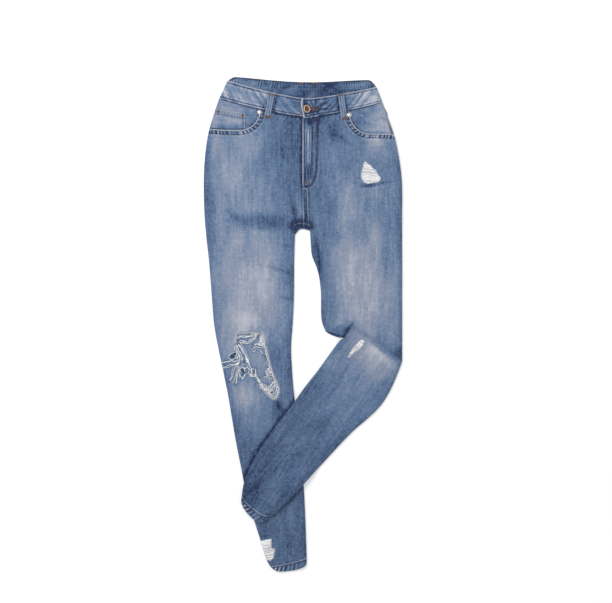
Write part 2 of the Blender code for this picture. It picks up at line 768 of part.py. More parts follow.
def make_back_left(finish):
    side = left_sides()
    outseam = side["thigh_out"]
    seam = yoke_line("left") - np.array([0.0, GAP])
    seam[0][0] += GAP / 2
    seam[-1] = on_outseam(outseam, seam[-1][1] - CORNER_EASE)
    outer = np.vstack([between(outseam, -600.0, seam[-1][1] - 6.0), seam[-1:]])
    centre = back_centre(seam[0][1], GAP / 2)
    edges = [(seam[::-1], False), (centre, False), (side["crotch"], True), (side["inseam"], True)]
    edges += [(side["notch"], True), (side["shin_in"], True), (side["hem"], False)]
    edges += [(side["shin_out"], True), (outer, True)]
    along = knee_points() + cross_points()
    return panel("back_left", edges, finish, False, left_base, extra=along)


def make_yoke(side, finish):
    mirrored = side == "left"
    outseam = curve(RIGHT_OUTSEAM) if not mirrored else curve(LEFT_THIGH_OUTSEAM)
    shift = GAP / 2 if mirrored else -GAP / 2
    fold_x = BAND_FOLDS[side][1][0]
    top = waist_line(CENTRE_BACK_X + shift, fold_x, back_seam_y)
    seam = yoke_line(side)
    seam[0][0] += shift
    top[-1] = on_outseam(outseam, top[-1][1] - CORNER_EASE)
    outer = np.array([top[-1], seam[-1]])
    centre = np.array([seam[0], top[0]])
    edges = [(top, False), (outer, True), (seam[::-1], False), (centre, False)]
    if mirrored:
        edges = [(line[::-1], rolled) for line, rolled in edges[::-1]]
    return panel("yoke_" + side, edges, finish, False, torso_base)


def facing_foot(side):
    """The hidden edge of a hip facing, from the outseam inwards and up to the waist seam."""
    outseam = curve(RIGHT_OUTSEAM if side == "right" else LEFT_THIGH_OUTSEAM)
    inward = 1.0 if side == "right" else -1.0
    mouth = scoop_line(side)
    foot_y = SCOOPS[side]["bottom_y"] - FACING_OVERLAP
    seam_x = SCOOPS[side]["seam_x"] + inward * FACING_OVERLAP
    side_foot = on_outseam(outseam, foot_y)
    bend = np.array([mouth[4][0], foot_y])
    head = np.array([seam_x, float(front_seam_y(seam_x)) - GAP])
    corners = [side_foot, bend, np.array([seam_x, mouth[2][1]]), head]
    line = [side_foot]
    for a, b in zip(corners[:-1], corners[1:]):
        count = max(1, round(float(np.linalg.norm(b - a)) / FACING_STEP))
        line += [a + (b - a) * k / count for k in range(1, count + 1)]
    return beside_rolls(np.array(line), True, False)


def make_facing(side, finish):
    """The hip piece behind a pocket mouth, hidden for a little way under the front."""
    mirrored = side == "left"
    outseam = curve(RIGHT_OUTSEAM) if not mirrored else curve(LEFT_THIGH_OUTSEAM)
    foot = facing_foot(side)
    top = waist_line(foot[-1][0], BAND_FOLDS[side][1][0], front_seam_y)
    top[-1] = on_outseam(outseam, top[-1][1] - CORNER_EASE)
    outer = np.array([top[-1], on_outseam(outseam, YOKE_SIDE[side][1]), foot[0]])
    edges = [(top, False), (outer, True), (foot, False)]
    if mirrored:
        edges = [(line[::-1], rolled) for line, rolled in edges[::-1]]
    size = {"thick": FACING, "level": -DENIM - 2 * GAP}
    lift = right_lift if not mirrored else left_lift
    along = [tuple(p) for p in scoop_line(side)[1:-1]]
    return panel("hip_facing_" + side, edges, finish, True, torso_base, lift, extra=along, **size)


def make_coin_pocket(finish):
    """Small patch on the right facing, with the pocket mouth across its foot."""
    mouth = scoop_line("right")
    size = COIN_POCKET
    outseam = curve(RIGHT_OUTSEAM)
    head = on_outseam(outseam, size["top_out_y"]) + np.array([4.0, 0.0])
    low_y = mouth[-1][1] + size["margin"]
    foot_out = on_outseam(outseam, low_y) + np.array([4.0, 0.0])
    in_foot_y = float(np.interp(-size["in_x"], -mouth[:, 0], mouth[:, 1])) + size["margin"]
    inner_foot = np.array([size["in_x"], in_foot_y])
    inner_head = np.array([size["in_x"], size["top_in_y"]])
    top = np.array([inner_head, (inner_head + head) / 2, head])
    left = np.array([head, (head + foot_out) / 2, foot_out])
    foot = np.array([foot_out, (-150.0, low_y), inner_foot])
    right = np.array([inner_foot, inner_head])
    edges = [(top, False), (left, False), (foot, False), (right, False)]
    outline = np.vstack([line[:-1] for line, _ in edges])
    plan, faces = fill(outline, [], [outseam + np.array([-500.0, 0.0])], ())
    below, lifted = torso_base(plan), right_lift(plan)
    outer = face_points(plan, [outseam], below, lifted, -GAP, True)
    inner = face_points(plan, [outseam], below, lifted, -GAP - FACING, True)
    return wall("coin_pocket", plan, faces, outer, inner, True, finish)


def make_back_pocket(side, finish):
    """Five-sided patch under the back panel."""
    size, middle = BACK_POCKET, BACK_POCKET_X[side]
    top_y, side_y = size["top_y"], size["top_y"] - size["side"]
    half, foot = size["width"] / 2, size["foot_width"] / 2
    corners = [(middle + half, top_y), (middle - half, top_y), (middle - foot, side_y)]
    corners += [(middle, side_y - size["point"]), (middle + foot, side_y)]
    outline = np.array(corners, float)
    lines = [np.array([a, b]) for a, b in zip(outline, np.roll(outline, -1, axis=0))]
    far = [np.array([(1e4, 0.0), (1e4, 1.0)])]
    plan, faces = fill(np.vstack([line[:-1] for line in lines]), [], far, ())
    outer = np.column_stack([plan, np.zeros(len(plan))])
    inner = np.column_stack([plan, np.full(len(plan), FACING)])
    return wall("back_pocket_" + side, plan, faces, outer, inner, False, finish)


def band_edges(share, on_front):
    """Top and foot of the band at a share of its width, from -1 at the right fold to 1 at the left."""
    (top_r, foot_r), (top_l, foot_l) = BAND_FOLDS["right"], BAND_FOLDS["left"]
    t = (share + 1) / 2
    top_x = top_r[0] + t * (top_l[0] - top_r[0])
    foot_x = foot_r[0] + t * (foot_l[0] - foot_r[0])
    if on_front:
        return (top_x, float(waist_dip(top_x, FRONT_TOP_DIP_Y, 0))), (foot_x, float(front_seam_y(foot_x)))
    straight = top_r[1] + t * (top_l[1] - top_r[1])
    fold_fade = min(1.0, (1 - abs(share)) / BAND_CORNER)
    ends = BACK_TOP_ENDS[0][1] + t * (BACK_TOP_ENDS[1][1] - BACK_TOP_ENDS[0][1])
    sag = BACK_TOP_SAG * (1 - share * share) ** 2
    back_y = straight + (ends - sag - straight) * math.sin(fold_fade * math.pi / 2)
    return (top_x, back_y), (foot_x, float(back_seam_y(foot_x)))


def band_share(foot_x):
    x0, x1 = BAND_FOLDS["right"][1][0], BAND_FOLDS["left"][1][0]
    return 2 * (foot_x - x0) / (x1 - x0) - 1


def band_stations():
    """Walk round the band from the buttonhole end to the button end: share of width, front, lift."""
    half = (BAND_FOLDS["left"][1][0] - BAND_FOLDS["right"][1][0]) / 2
    near = [1 - d / half for d in (EDGE_RINGS[1], EDGE_RINGS[0])]
    lapped = list(stations(BAND_END_X, BAND_FOLDS["left"][1][0]))[:-1]
    walk = [(band_share(x), True) for x in lapped if band_share(x) < near[0] - 0.02]
    walk += [(near[0], True), (near[1], True), (1.0, True), (near[1], False), (near[0], False)]
    back = stations(BAND_FOLDS["left"][1][0], BAND_FOLDS["right"][1][0])[1:-1]
    walk += [(band_share(x), False) for x in back if abs(band_share(x)) < near[0] - 0.02]
    walk += [(-near[0], False), (-near[1], False), (-1.0, False), (-near[1], True), (-near[0], True)]
    under = stations(BAND_FOLDS["right"][1][0], BAND_UNDERLAP_X)[1:]
    walk += [(band_share(x), True) for x in under if band_share(x) > -near[0] + 0.02]
    return walk


def band_point(share, on_front, height_share, level, lap):
    """A point of the band's outer face, or of a face moved in by level."""
    top, foot = band_edges(share, on_front)
    x = foot[0] + height_share * (top[0] - foot[0])
    y = foot[1] + height_share * (top[1] - foot[1])
    half = (BAND_FOLDS["left"][1][0] - BAND_FOLDS["right"][1][0]) / 2
    d = (1 - abs(share)) * half
    turn = min(1.0, max(0.0, 1 - d / EDGE_RADIUS))
    up = math.sqrt(1 - turn * turn)
    middle = BAND_LIFT + BAND_FOLD_LEVEL
    if on_front:
        flat = BAND_LAID
        swell = BAND_SWELL * float(1 - smooth((d - EDGE_RADIUS) / CREST_FADE))
        reach = flat + swell - middle
        z = middle + reach * up + lap
        rise = up / reach
    else:
        reach = BAND_FOLD_LEVEL
        z = middle - reach * up
        rise = -up / reach
    out = math.copysign(turn / EDGE_RADIUS, share)
    size = math.hypot(out, rise)
    return (x - level * out / size, y, z - level * rise / size)


def band_lap(x):
    """Lift of the band's outer end over the end with the button."""
    return (BAND + GAP) * (1 - float(smooth((x - BAND_UNDERLAP_X - BAND_LAP_START) / BAND_LAP_RAMP)))


def make_waistband(finish):
    """One strip that wraps from the buttonhole end, round the back, to the button end."""
    walk = band_stations()
    outer, inner = [], []
    for number, (share, on_front) in enumerate(walk):
        foot_x = band_edges(share, True)[1][0]
        over = on_front and number < len(walk) / 2
        lap = band_lap(foot_x) if over else 0.0
        for height_share in BAND_ROWS:
            outer.append(band_point(share, on_front, height_share, 0.0, lap))
            inner.append(band_point(share, on_front, height_share, BAND, lap))
    high, count = len(BAND_ROWS), len(outer)
    faces = []
    for i in range(len(walk) - 1):
        for j in range(high - 1):
            a, b = i * high + j, (i + 1) * high + j
            faces.append((a, b, b + 1, a + 1))
            faces.append((count + a + 1, count + b + 1, count + b, count + a))
        low, top = i * high, i * high + high - 1
        faces.append((low + high, low, count + low, count + low + high))
        faces.append((top, top + high, count + top + high, count + top))
    last = (len(walk) - 1) * high
    for j in range(high - 1):
        faces.append((j, j + 1, count + j + 1, count + j))
        faces.append((last + j + 1, last + j, count + last + j, count + last + j + 1))
    return add_object("waistband", outer + inner, faces, finish)


def resting_height(x, y, on_front):
    """Top of the front, or the floor under the back, at a place on or below the band."""
    if not on_front:
        return 0.0
    spot = np.array([[x, y]])
    lap = band_lap(x) if x > BAND_END_X else 0.0
    over = left_lift(spot) if x > FLY_EDGE_X else right_lift(spot)
    below = float((torso_base(spot) + over)[0]) + LAID_HEIGHT
    start, length = LOOP_FOOT_RAMP
    share = float(smooth((y - float(front_seam_y(x)) + start) / length))
    return below + max(BAND_LAID + lap - below, 0.0) * share


def make_loop(loop, finish):
    """A strip over the band, bent down to the panel at its foot."""
    top, foot = np.array(loop["top"]), np.array(loop["foot"])
    along = (foot - top) / np.linalg.norm(foot - top)
    across = np.array([along[1], -along[0]]) * LOOP_WIDTH / 2
    on_front = loop["on"] == "front"
    lower, upper = [], []
    for number in range(LOOP_STATIONS):
        share = number / (LOOP_STATIONS - 1)
        middle = top + (foot - top) * share
        height = resting_height(middle[0], middle[1], on_front)
        if on_front:
            height += GAP + LOOP_ARCH * math.sin(math.pi * min(1.0, share / LOOP_ARCH_END))
        for side in (-1, 1):
            spot = middle + side * across
            lower.append((spot[0], spot[1], height))
            upper.append((spot[0], spot[1], height + LOOP))
    count, faces = len(lower), []
    for i in range(LOOP_STATIONS - 1):
        a = 2 * i
        faces.append((a, a + 2, a + 3, a + 1))
        faces.append((count + a, count + a + 1, count + a + 3, count + a + 2))
        faces.append((a, count + a, count + a + 2, a + 2))
        faces.append((a + 3, count + a + 3, count + a + 1, a + 1))
    last = count - 2
    faces.append((1, count + 1, count, 0))
    faces.append((last, count + last, count + last + 1, last + 1))
    return add_object(loop["name"], lower + upper, faces, finish)


def turned(name, middle, base_z, profile, finish):
    """A round piece from a profile of radius and height, closed at its axis."""
    points, faces = [], []
    for radius, z in profile:
        for k in range(ROUND_SIDES):
            turn = 2 * math.pi * k / ROUND_SIDES
            x = middle[0] + radius * math.cos(turn)
            points.append((x, middle[1] + radius * math.sin(turn), base_z + z))
    for i in range(len(profile) - 1):
        for k in range(ROUND_SIDES):
            a, b = i * ROUND_SIDES + k, i * ROUND_SIDES + (k + 1) % ROUND_SIDES
            faces.append((a, b, b + ROUND_SIDES, a + ROUND_SIDES))
    last = (len(profile) - 1) * ROUND_SIDES
    faces.append(tuple(range(ROUND_SIDES))[::-1])
    faces.append(tuple(last + k for k in range(ROUND_SIDES)))
    made = add_object(name, points, faces, finish)
    made.data.shade_smooth()
    made.data.set_sharp_from_angle(angle=math.radians(35))
    return made


def make_button(finish):
    size = BUTTON
    base = resting_height(size["x"], size["y"], True) + GAP
    radius, height, rim = size["radius"], size["height"], size["rim"]
    profile = [
        (radius * 0.86, 0.0),
        (radius, rim * 0.6),
        (radius, rim),
        (radius * 0.93, height * 0.9),
        (radius * 0.8, height),
        (radius * 0.66, height * 0.8),
        (radius * 0.35, height * 0.8),
        (radius * 0.2, height),
    ]
    return turned("button", (size["x"], size["y"]), base, profile, finish)


def make_rivet(name, place, finish):
    size = RIVET
    spot = np.array([place])
    panel_top = float((torso_base(spot) + hip_lift(spot))[0]) + LAID_HEIGHT
    base = max(panel_top, BAND_LAID) + GAP
    radius, height = size["radius"], size["height"]
    profile = [(radius, 0.0), (radius, size["rim"]), (radius * 0.8, height * 0.75)]
    profile += [(radius * 0.45, height), (radius * 0.15, height * 1.02)]
    return turned(name, place, base, profile, finish)


def make_knee_fold(finish):
    """Rounded solid of the pleat's hidden layers, on the floor under the top of the shin."""
    notch, corner = np.array(KNEE_NOTCH), np.array(KNEE_CORNER)
    along = corner - notch
    past = np.array([along[1], -along[0]]) / np.linalg.norm(along)
    rim = np.array([notch + share * along + d * past for share, d in KNEE_FOLD_RIM])
    middle = rim.mean(axis=0)
    points, faces = [], []
    for ring, share in KNEE_FOLD_RINGS:
        plan = middle + (rim - middle) * ring
        room = KNEE_FOLD_FILL * knee_rise(plan) - GAP
        points += [(p[0], p[1], max(2 * GAP, z * share)) for p, z in zip(plan, room)]
    points.append((middle[0], middle[1], KNEE_FOLD_FILL * float(knee_rise(middle[None])[0]) - GAP))
    count = len(rim)
    top_point = len(points) - 1
    points += [(p[0], p[1], 0.0) for p in middle + (rim - middle) * KNEE_FOLD_FOOT]
    points.append((middle[0], middle[1], 0.0))
    foot = top_point + 1
    turn = 1 if loop_area(rim) > 0 else -1
    for k in range(count):
        after = (k + 1) % count
        for i in range(len(KNEE_FOLD_RINGS) - 1):
            a, b = i * count + k, i * count + after
            faces.append((a, b, b + count, a + count)[::turn])
        inner = (len(KNEE_FOLD_RINGS) - 1) * count
        faces.append((inner + k, inner + after, top_point)[::turn])
        faces.append((k, foot + k, foot + after, after)[::turn])
        faces.append((foot + after, foot + k, foot + count)[::turn])
    made = add_object("knee_fold_left", points, faces, finish)
    made.data.shade_smooth()
    return made


def loop_area(loop):
    x, y = loop[:, 0], loop[:, 1]
    return 0.5 * float(np.sum(x * np.roll(y, -1) - np.roll(x, -1) * y))


def main():
    for old in list(bpy.data.objects):
        bpy.data.objects.remove(old)
    finishes = {name: material(name) for name in COLOURS}
    denim, inside_denim = finishes["denim"], finishes["denim_inside"]
    make_front_right(denim)
    make_front_left(denim)
    make_back_right(denim)
    make_back_left(denim)
    make_waistband(denim)
    for side in ("right", "left"):
        make_yoke(side, denim)
        make_facing(side, inside_denim)
        make_back_pocket(side, denim)
    make_coin_pocket(denim)
    make_knee_fold(denim)
    for loop in LOOPS:
        make_loop(loop, denim)
    make_button(finishes["copper"])
    for name, place in RIVET_PLACES.items():
        make_rivet(name, place, finishes["nickel"])
    for finish in finishes.values():
        bpy.data.materials.remove(finish)


main()
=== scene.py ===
"""Ripped five-pocket jeans laid flat on their back, with the left leg bent across the right.

Each cut piece is a thin shell of denim: a flat outline filled with fine triangles, lifted by functions of
the place on it. Tables hold sizes in millimetres, and meshes are made in metres. The waist points to +Y,
the wearer's right leg lies at -X, and the cloth rests on Z = 0.
"""

import math
from functools import lru_cache
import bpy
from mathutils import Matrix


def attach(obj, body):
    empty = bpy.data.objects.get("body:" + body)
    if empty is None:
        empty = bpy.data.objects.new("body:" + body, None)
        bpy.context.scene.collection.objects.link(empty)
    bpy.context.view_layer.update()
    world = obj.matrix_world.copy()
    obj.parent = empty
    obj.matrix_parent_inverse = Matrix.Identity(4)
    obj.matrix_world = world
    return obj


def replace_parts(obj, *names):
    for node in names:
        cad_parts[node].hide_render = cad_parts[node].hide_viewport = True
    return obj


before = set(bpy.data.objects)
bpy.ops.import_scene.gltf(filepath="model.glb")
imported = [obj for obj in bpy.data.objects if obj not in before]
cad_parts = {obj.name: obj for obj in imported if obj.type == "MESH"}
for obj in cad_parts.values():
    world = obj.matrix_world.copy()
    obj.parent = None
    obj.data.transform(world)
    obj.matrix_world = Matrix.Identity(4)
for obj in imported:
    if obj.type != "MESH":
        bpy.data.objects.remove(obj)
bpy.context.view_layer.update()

from types import SimpleNamespace

import bpy
import numpy as np
from mathutils import Vector
from mathutils.geometry import delaunay_2d_cdt

bl_info = {
    "name": "Ripped Jeans",
    "version": (1, 0, 0),
    "blender": (4, 5, 0),
    "location": "3D View > Sidebar > Jeans",
    "description": "Builds ripped five-pocket jeans laid flat, piece by piece",
    "category": "Add Mesh",
}

MM = 0.001

# The flattened tube ---------------------------------------------------------------------------

SEAM_LEVEL = 3.2
SEAM_GAP = 0.3
EDGE_RADIUS = 6
EDGE_CREST = 7.2
LAID_HEIGHT = 4
CREST_FADE = 34
EDGE_RINGS = (0.35, 1.1, 2.3, 3.9, 5.8)
EDGE_TAIL = 12

FINE_STEP = 1.25
POCKET_LIFT = 1.5
BAND_LIFT = 1.9
HIP_LIFT = 1.8
HIP_LIFT_X = {"right": -48, "left": 56}
HIP_FOOT_Y = 360
HIP_RAMP = 14
FLY_LIFT = 1.8
FLY_RAISE_END_X = 33
FLY_RAMP_END_X = 38
SEAT_FOOT_Y = 190
SEAT_RAMP = 30
BAND_RAMP_Y = 438
BAND_RAMP = 16
KNEE_RISE = 7
KNEE_CLIMB = 9
KNEE_FADE_START = 30
KNEE_FADE = 60
CROSS_HEIGHT = 8.9
CROSS_LEDGE = 6
CROSS_RAMP = 34
CROSS_TOP_Y = -90
SHIN_TURN = -36

CENTRE_X = 8.4
WAIST_DIP_POWER = 1.3
FLY_EDGE_X = -1
FLY_UNDERLAP_X = 12
FLY_BOTTOM_Y = 280
FLY_FADE_Y = 262
CROTCH_Y = 198

# Outlines: x, y along each edge.
RIGHT_OUTSEAM = [
    (-176, 472), (-189.5, 432), (-199.5, 394), (-206, 344), (-208, 290), (-206.5, 230), (-203, 185),
    (-197, 130), (-191.5, 60), (-186.5, 0), (-178, -48), (-167.5, -98), (-157.5, -148), (-149, -198),
    (-140.5, -248), (-130.5, -298), (-120, -350), (-103, -410), (-89, -454), (-76.5, -494), (-67.5, -510),
]
RIGHT_INSEAM = [
    (8, -500), (6.5, -454), (4.5, -400), (1.5, -340), (-3, -290), (-8, -240), (-13.5, -195), (-19, -147),
    (-23, -97), (-25, -48), (-21.5, 4), (-19, 60), (-18.5, 130), (-17, 187),
]
RIGHT_HEM = [(-67.5, -510), (-52, -518), (-22, -517), (3, -508.5), (8, -500)]
RIGHT_CROTCH = [(-17, 187), (-6, 199), (CENTRE_X, CROTCH_Y)]
LEFT_CROTCH = [(CENTRE_X, CROTCH_Y), (14.7, 195.5)]
LEFT_THIGH_INSEAM = [
    (14.7, 195.5), (16.5, 165), (19, 143), (28, 120), (34, 97), (37.5, 65), (38, 20), (40.5, 2),
    (47.5, -15.5),
]
KNEE_NOTCH = (105, 0)
KNEE_CORNER = (208, -78)
LEFT_LOBE = [(47.5, -15.5), (57, -21.5), (73, -27.5), (84.2, -28.8)]
NOTCH_FOOT = (85.33, -29.56)
LEFT_SHIN_INSEAM = [
    KNEE_NOTCH, (85.4, -29.6), (76, -35.5), (58.8, -58.8), (31.5, -96.6), (2, -134.4), (-25, -172),
    (-53.5, -209), (-80, -247), (-104, -286), (-122.5, -328), (-129.4, -367.5),
]
LEFT_HEM = [
    (-129.4, -367.5), (-127.5, -378), (-117.5, -394), (-103, -408), (-89, -414), (-80, -409.5),
    (-71.4, -403.2),
]
LEFT_SHIN_OUTSEAM = [
    (-71.4, -403.2), (-55.6, -393), (-21, -359), (10.5, -325), (35.7, -298), (58.8, -273), (81.9, -248),
    (107, -222.6), (136.5, -197.4), (161.7, -172.2), (178.5, -147), (191, -121.8), (201, -97), KNEE_CORNER,
]
LEFT_THIGH_OUTSEAM = [
    KNEE_CORNER, (208, -20), (208, 60), (208, 150), (207.5, 220), (207.5, 290), (202, 344), (191.5, 394),
    (178.5, 432), (166.5, 464),
]

# Waist: the band's folds as top and foot, the dips of its front edges and the back's top.
BAND_FOLDS = {"right": ((-158.5, 510), (-176, 472)), "left": ((154.5, 496.5), (166.5, 464))}
FOLD_RIGHT_X = -176
FOLD_LEFT_X = 166.5
BAND_HALF = (FOLD_LEFT_X - FOLD_RIGHT_X) / 2
FRONT_SEAM_DIP_Y = 432.6
FRONT_TOP_DIP_Y = 472
BACK_SEAM_RISE = 3
BACK_TOP_SAG = 8
BACK_TOP_ENDS = ((-140, 519), (138, 512))
BAND_CORNER = 0.12
BAND_END_X = -6
BAND_END_DROP = 3.4
BAND_END_SLANT = 7.2
BAND_UNDERLAP_X = 14
BAND_THICK = 2.4
BAND_WIDTH = 40
BAND_LENGTH = 700
BAND_FOLD_LEVEL = 3.4
BAND_TOP = 8.2
BAND_SWELL = 1.2
BAND_LAP = 1.9
BAND_SINK = 0.8

SCOOPS = {
    "right": {"seam_x": -90, "reach": 44, "side": (-196, 408), "bottom_y": 406},
    "left": {"seam_x": 97, "reach": 42, "side": (190.5, 397), "bottom_y": 399},
}
FACING_OVERLAP = 14
# Coin pocket: heights of its mouth's two ends, and its inner edge.
COIN_POCKET = (449, 441, -121)

YOKE_CENTRE_Y = 402
YOKE_SIDE = {"right": (-189.5, 432), "left": (178.5, 432)}
CENTRE_BACK_X = 6
BACK_POCKET = {"width": 118, "foot_width": 102, "side": 118, "point": 16, "top_y": 386}
BACK_POCKET_X = {"right": -92, "left": 100}

# Belt loops: top, foot and whether they lie on the front.
LOOPS = {
    "loop_front_right": ((-65.5, 483), (-75, 430.5), True),
    "loop_front_left": ((79, 482), (87, 428), True), "loop_side_right": ((-112, 512), (-116, 462), False),
    "loop_side_left": ((112, 507), (118, 459), False),
    "loop_back_right": ((-7.5, 507), (-7.5, 462), False), "loop_back_left": ((23, 507), (23, 462), False),
}
LOOP_WIDTH = 12.6
LOOP_THICK = 1.5
BUTTON_PLACE = (7.6, 449.4)
BUTTON_LEAN = 36
BUTTON_STAND = 3.6
# Buttonhole: the middle of its slit as x and distance from the band's foot, and half its length.
HOLE = {"x": 23.6, "foot": 16.2, "half": 9.2}
RIVET_PLACES = {"rivet_right": (-90.5, 443.5), "rivet_left": (97.5, 438)}

KNEE_RIP = [
    (-136.5, -21), (-139, -38), (-138, -56), (-126, -80), (-113, -107), (-98, -111.5), (-87.5, -128.5),
    (-70.5, -146.5), (-60.5, -155), (-53.5, -140), (-58.5, -122), (-66, -104), (-71, -89), (-76, -67),
    (-83, -41), (-88.5, -19), (-116, -17),
]

# Patches rubbed down to the white weft: outlines on each front.
BARE_PATCHES = {
    "hip": [
        (129.5, 341), (135, 337), (141.5, 332), (146, 326), (151, 321), (157, 313), (161.5, 306.5),
        (162, 302), (157, 298.5), (148, 296.5), (136, 294.5), (129.5, 297), (124.5, 302), (123, 308),
        (123.5, 318), (126, 326), (127, 334),
    ],
    "knee": [
        (123.5, -31.5), (128, -36.5), (126, -44), (118, -51.5), (108, -59), (101.5, -63.5), (96.5, -70.5),
        (94, -68), (99.5, -59), (105, -50), (112, -42.5), (118.5, -34.5),
    ],
    "ankle": [
        (-90, -456), (-66.5, -450), (-65.5, -469.5), (-58.5, -471.5), (-61.5, -490), (-68, -495),
        (-76, -494.5), (-82, -477),
    ],
}


# Curves and distances -------------------------------------------------------------------------


def smooth(t):
    t = np.clip(t, 0, 1)
    return t * t * (3 - 2 * t)


def ramp(t, start, width):
    """Rises smoothly from 0 at the start to 1 a width past it."""
    return smooth((t - start) / width)


def columns(*parts):
    """Points from their coordinates, or with one more coordinate."""
    return np.column_stack(parts)


def closed_of(loop):
    return np.vstack([loop, loop[:1]])


def bell(d, width):
    return np.exp(-((d / width) ** 2))


def curve(points, step=3):
    """A Catmull-Rom curve through the points, with corners about one step apart."""
    pts = np.array(points, float)
    pts = np.vstack([2 * pts[0] - pts[1], pts, 2 * pts[-1] - pts[-2]])
    out = [pts[1:2]]
    for before, a, b, after in zip(pts, pts[1:], pts[2:], pts[3:]):
        count = max(1, int(np.linalg.norm(b - a) / step + 0.5))
        t = np.arange(1, count + 1)[:, None] / count
        bend, turn = 2 * before - 5 * a + 4 * b - after, 3 * a - before - 3 * b + after
        out.append(0.5 * (2 * a + (b - before) * t + bend * t * t + turn * t * t * t))
    return np.vstack(out)


def dense(points, step=3):
    """The same line with extra corners, none further apart than the step."""
    pts = np.array(points, float)
    out = [pts[0]]
    for a, b in zip(pts[:-1], pts[1:]):
        count = max(1, math.ceil(np.linalg.norm(b - a) / step - 1e-6))
        out += [a + (b - a) * k / count for k in range(1, count + 1)]
    return np.array(out)


def run_of(line):
    """Distance along a line to each of its corners."""
    return np.concatenate([[0], np.cumsum(np.linalg.norm(np.diff(line, axis=0), axis=1))])


def near_segments(points, lines, reach):
    """For each segment of the lines: its number and span, and the points near it with their shares of it,
    offsets from it and distances."""
    order = np.argsort(points[:, 1])
    heights = points[order, 1]
    for line in lines:
        for number, (a, b) in enumerate(zip(line[:-1], line[1:])):
            low = np.searchsorted(heights, min(a[1], b[1]) - reach)
            rows = order[low : np.searchsorted(heights, max(a[1], b[1]) + reach)]
            span = b - a
            t = np.clip((points[rows] - a) @ span / max(span @ span, 1e-9), 0, 1)
            offset = points[rows] - (a + t[:, None] * span)
            yield number, span, rows, t, offset, np.hypot(offset[:, 0], offset[:, 1])


def nearest(points, lines, reach=45):
    """Each point's distance to the lines and the unit direction away from them, to their left."""
    best = np.full(len(points), 1e3)
    away = np.zeros((len(points), 2))
    for _, span, rows, _, offset, d in near_segments(points, lines, reach):
        near = d < best[rows] - 1e-9
        if near.any():
            left = np.array([-span[1], span[0]]) / max(np.linalg.norm(span), 1e-9)
            turn = np.where(d[:, None] > 1e-3, offset / np.maximum(d, 1e-3)[:, None], left)
            best[rows[near]] = d[near]
            away[rows[near]] = turn[near]
    return best, away


def follow(points, line, reach=45):
    """Each point's distance to a line, place along it, and side: 1 to its left and -1 to its right."""
    line = np.asarray(line, float)
    best = np.full(len(points), 1e3)
    place = np.zeros(len(points))
    side = np.ones(len(points))
    runs = run_of(line)
    for number, span, rows, t, offset, d in near_segments(points, [line], reach):
        near = d < best[rows]
        here = rows[near]
        best[here] = d[near]
        place[here] = runs[number] + t[near] * np.linalg.norm(span)
        cross = span[0] * offset[near, 1] - span[1] * offset[near, 0]
        side[here] = np.where(cross >= 0, 1, -1)
    return best, place, side


def beside(line, distance):
    """The line moved to its left."""
    tangent = np.gradient(line, axis=0)
    tangent /= np.maximum(np.linalg.norm(tangent, axis=1), 1e-9)[:, None]
    return line + distance * columns(-tangent[:, 1], tangent[:, 0])


def inside(points, loop):
    """True for each point that lies inside the closed loop."""
    found = np.zeros(len(points), bool)
    x, y = points[:, 0], points[:, 1]
    for a, b in zip(loop, np.roll(loop, -1, axis=0)):
        crosses = (a[1] > y) != (b[1] > y)
        rise = b[1] - a[1] if b[1] != a[1] else 1e-12
        found ^= crosses & (x < (b[0] - a[0]) * (y - a[1]) / rise + a[0])
    return found


def off(points, line):
    return follow(points, line)[0]


def depth_inside(points, loop):
    """Distance to a closed loop, positive inside it."""
    d = off(points, closed_of(loop))
    return np.where(inside(points, loop), d, -d)


def drift(points, size, seed):
    """Smooth unevenness from -1 to 1, with bumps about as large as the size, or its two sizes."""
    table = np.random.default_rng(seed).uniform(-1, 1, (64, 64))
    q = points / np.asarray(size, float) + 200
    low = np.floor(q).astype(int)
    (i, j), (t, u) = low.T % 64, smooth(q - low).T
    i1, j1 = (i + 1) % 64, (j + 1) % 64
    bottom, top = (table[i, row] * (1 - t) + table[i1, row] * t for row in (j, j1))
    return bottom * (1 - u) + top * u


# Lines that pieces share ----------------------------------------------------------------------


def waist_dip(x, low_y, which):
    x = np.asarray(x, float)
    ends = zip(BAND_FOLDS["right"][which], BAND_FOLDS["left"][which])
    end_x, end_y = (np.where(x < CENTRE_X, *pair) for pair in ends)
    return low_y + (end_y - low_y) * (np.abs(x - CENTRE_X) / np.abs(end_x - CENTRE_X)) ** WAIST_DIP_POWER


def front_seam_y(x):
    return waist_dip(x, FRONT_SEAM_DIP_Y, 1)


def back_seam_y(x):
    (x0, y0), (x1, y1) = BAND_FOLDS["right"][1], BAND_FOLDS["left"][1]
    share = (np.asarray(x, float) - x0) / (x1 - x0)
    return y0 + (y1 - y0) * share + BACK_SEAM_RISE * 4 * share * (1 - share)


def waist_line(x0, x1, seam_y):
    xs = np.linspace(x0, x1, max(2, int(abs(x1 - x0) / 3)))
    return columns(xs, seam_y(xs) - SEAM_GAP)


def front_waist():
    """The fronts' waist seam from fold to fold."""
    return waist_line(-176, 166, front_seam_y)[::3]


@lru_cache(maxsize=None)
def scoop_line(side):
    """Pocket mouth from the waist seam to the outseam: a quarter round, then nearly level."""
    mouth = SCOOPS[side]
    seam_x, (end_x, end_y), bottom_y = mouth["seam_x"], mouth["side"], mouth["bottom_y"]
    top_y = float(front_seam_y(seam_x)) - SEAM_GAP
    bend_x = seam_x + math.copysign(mouth["reach"], end_x)
    turns = np.radians(np.linspace(0, 90, 22))
    out, down = 1 - np.cos(turns), np.sin(turns)
    bend = columns(seam_x + (bend_x - seam_x) * out, top_y - (top_y - bottom_y) * down)
    share = np.linspace(0.05, 1, 20)
    level = columns(bend_x + share * (end_x - bend_x), bottom_y + share**2 * (end_y - bottom_y))
    return np.vstack([bend, level])


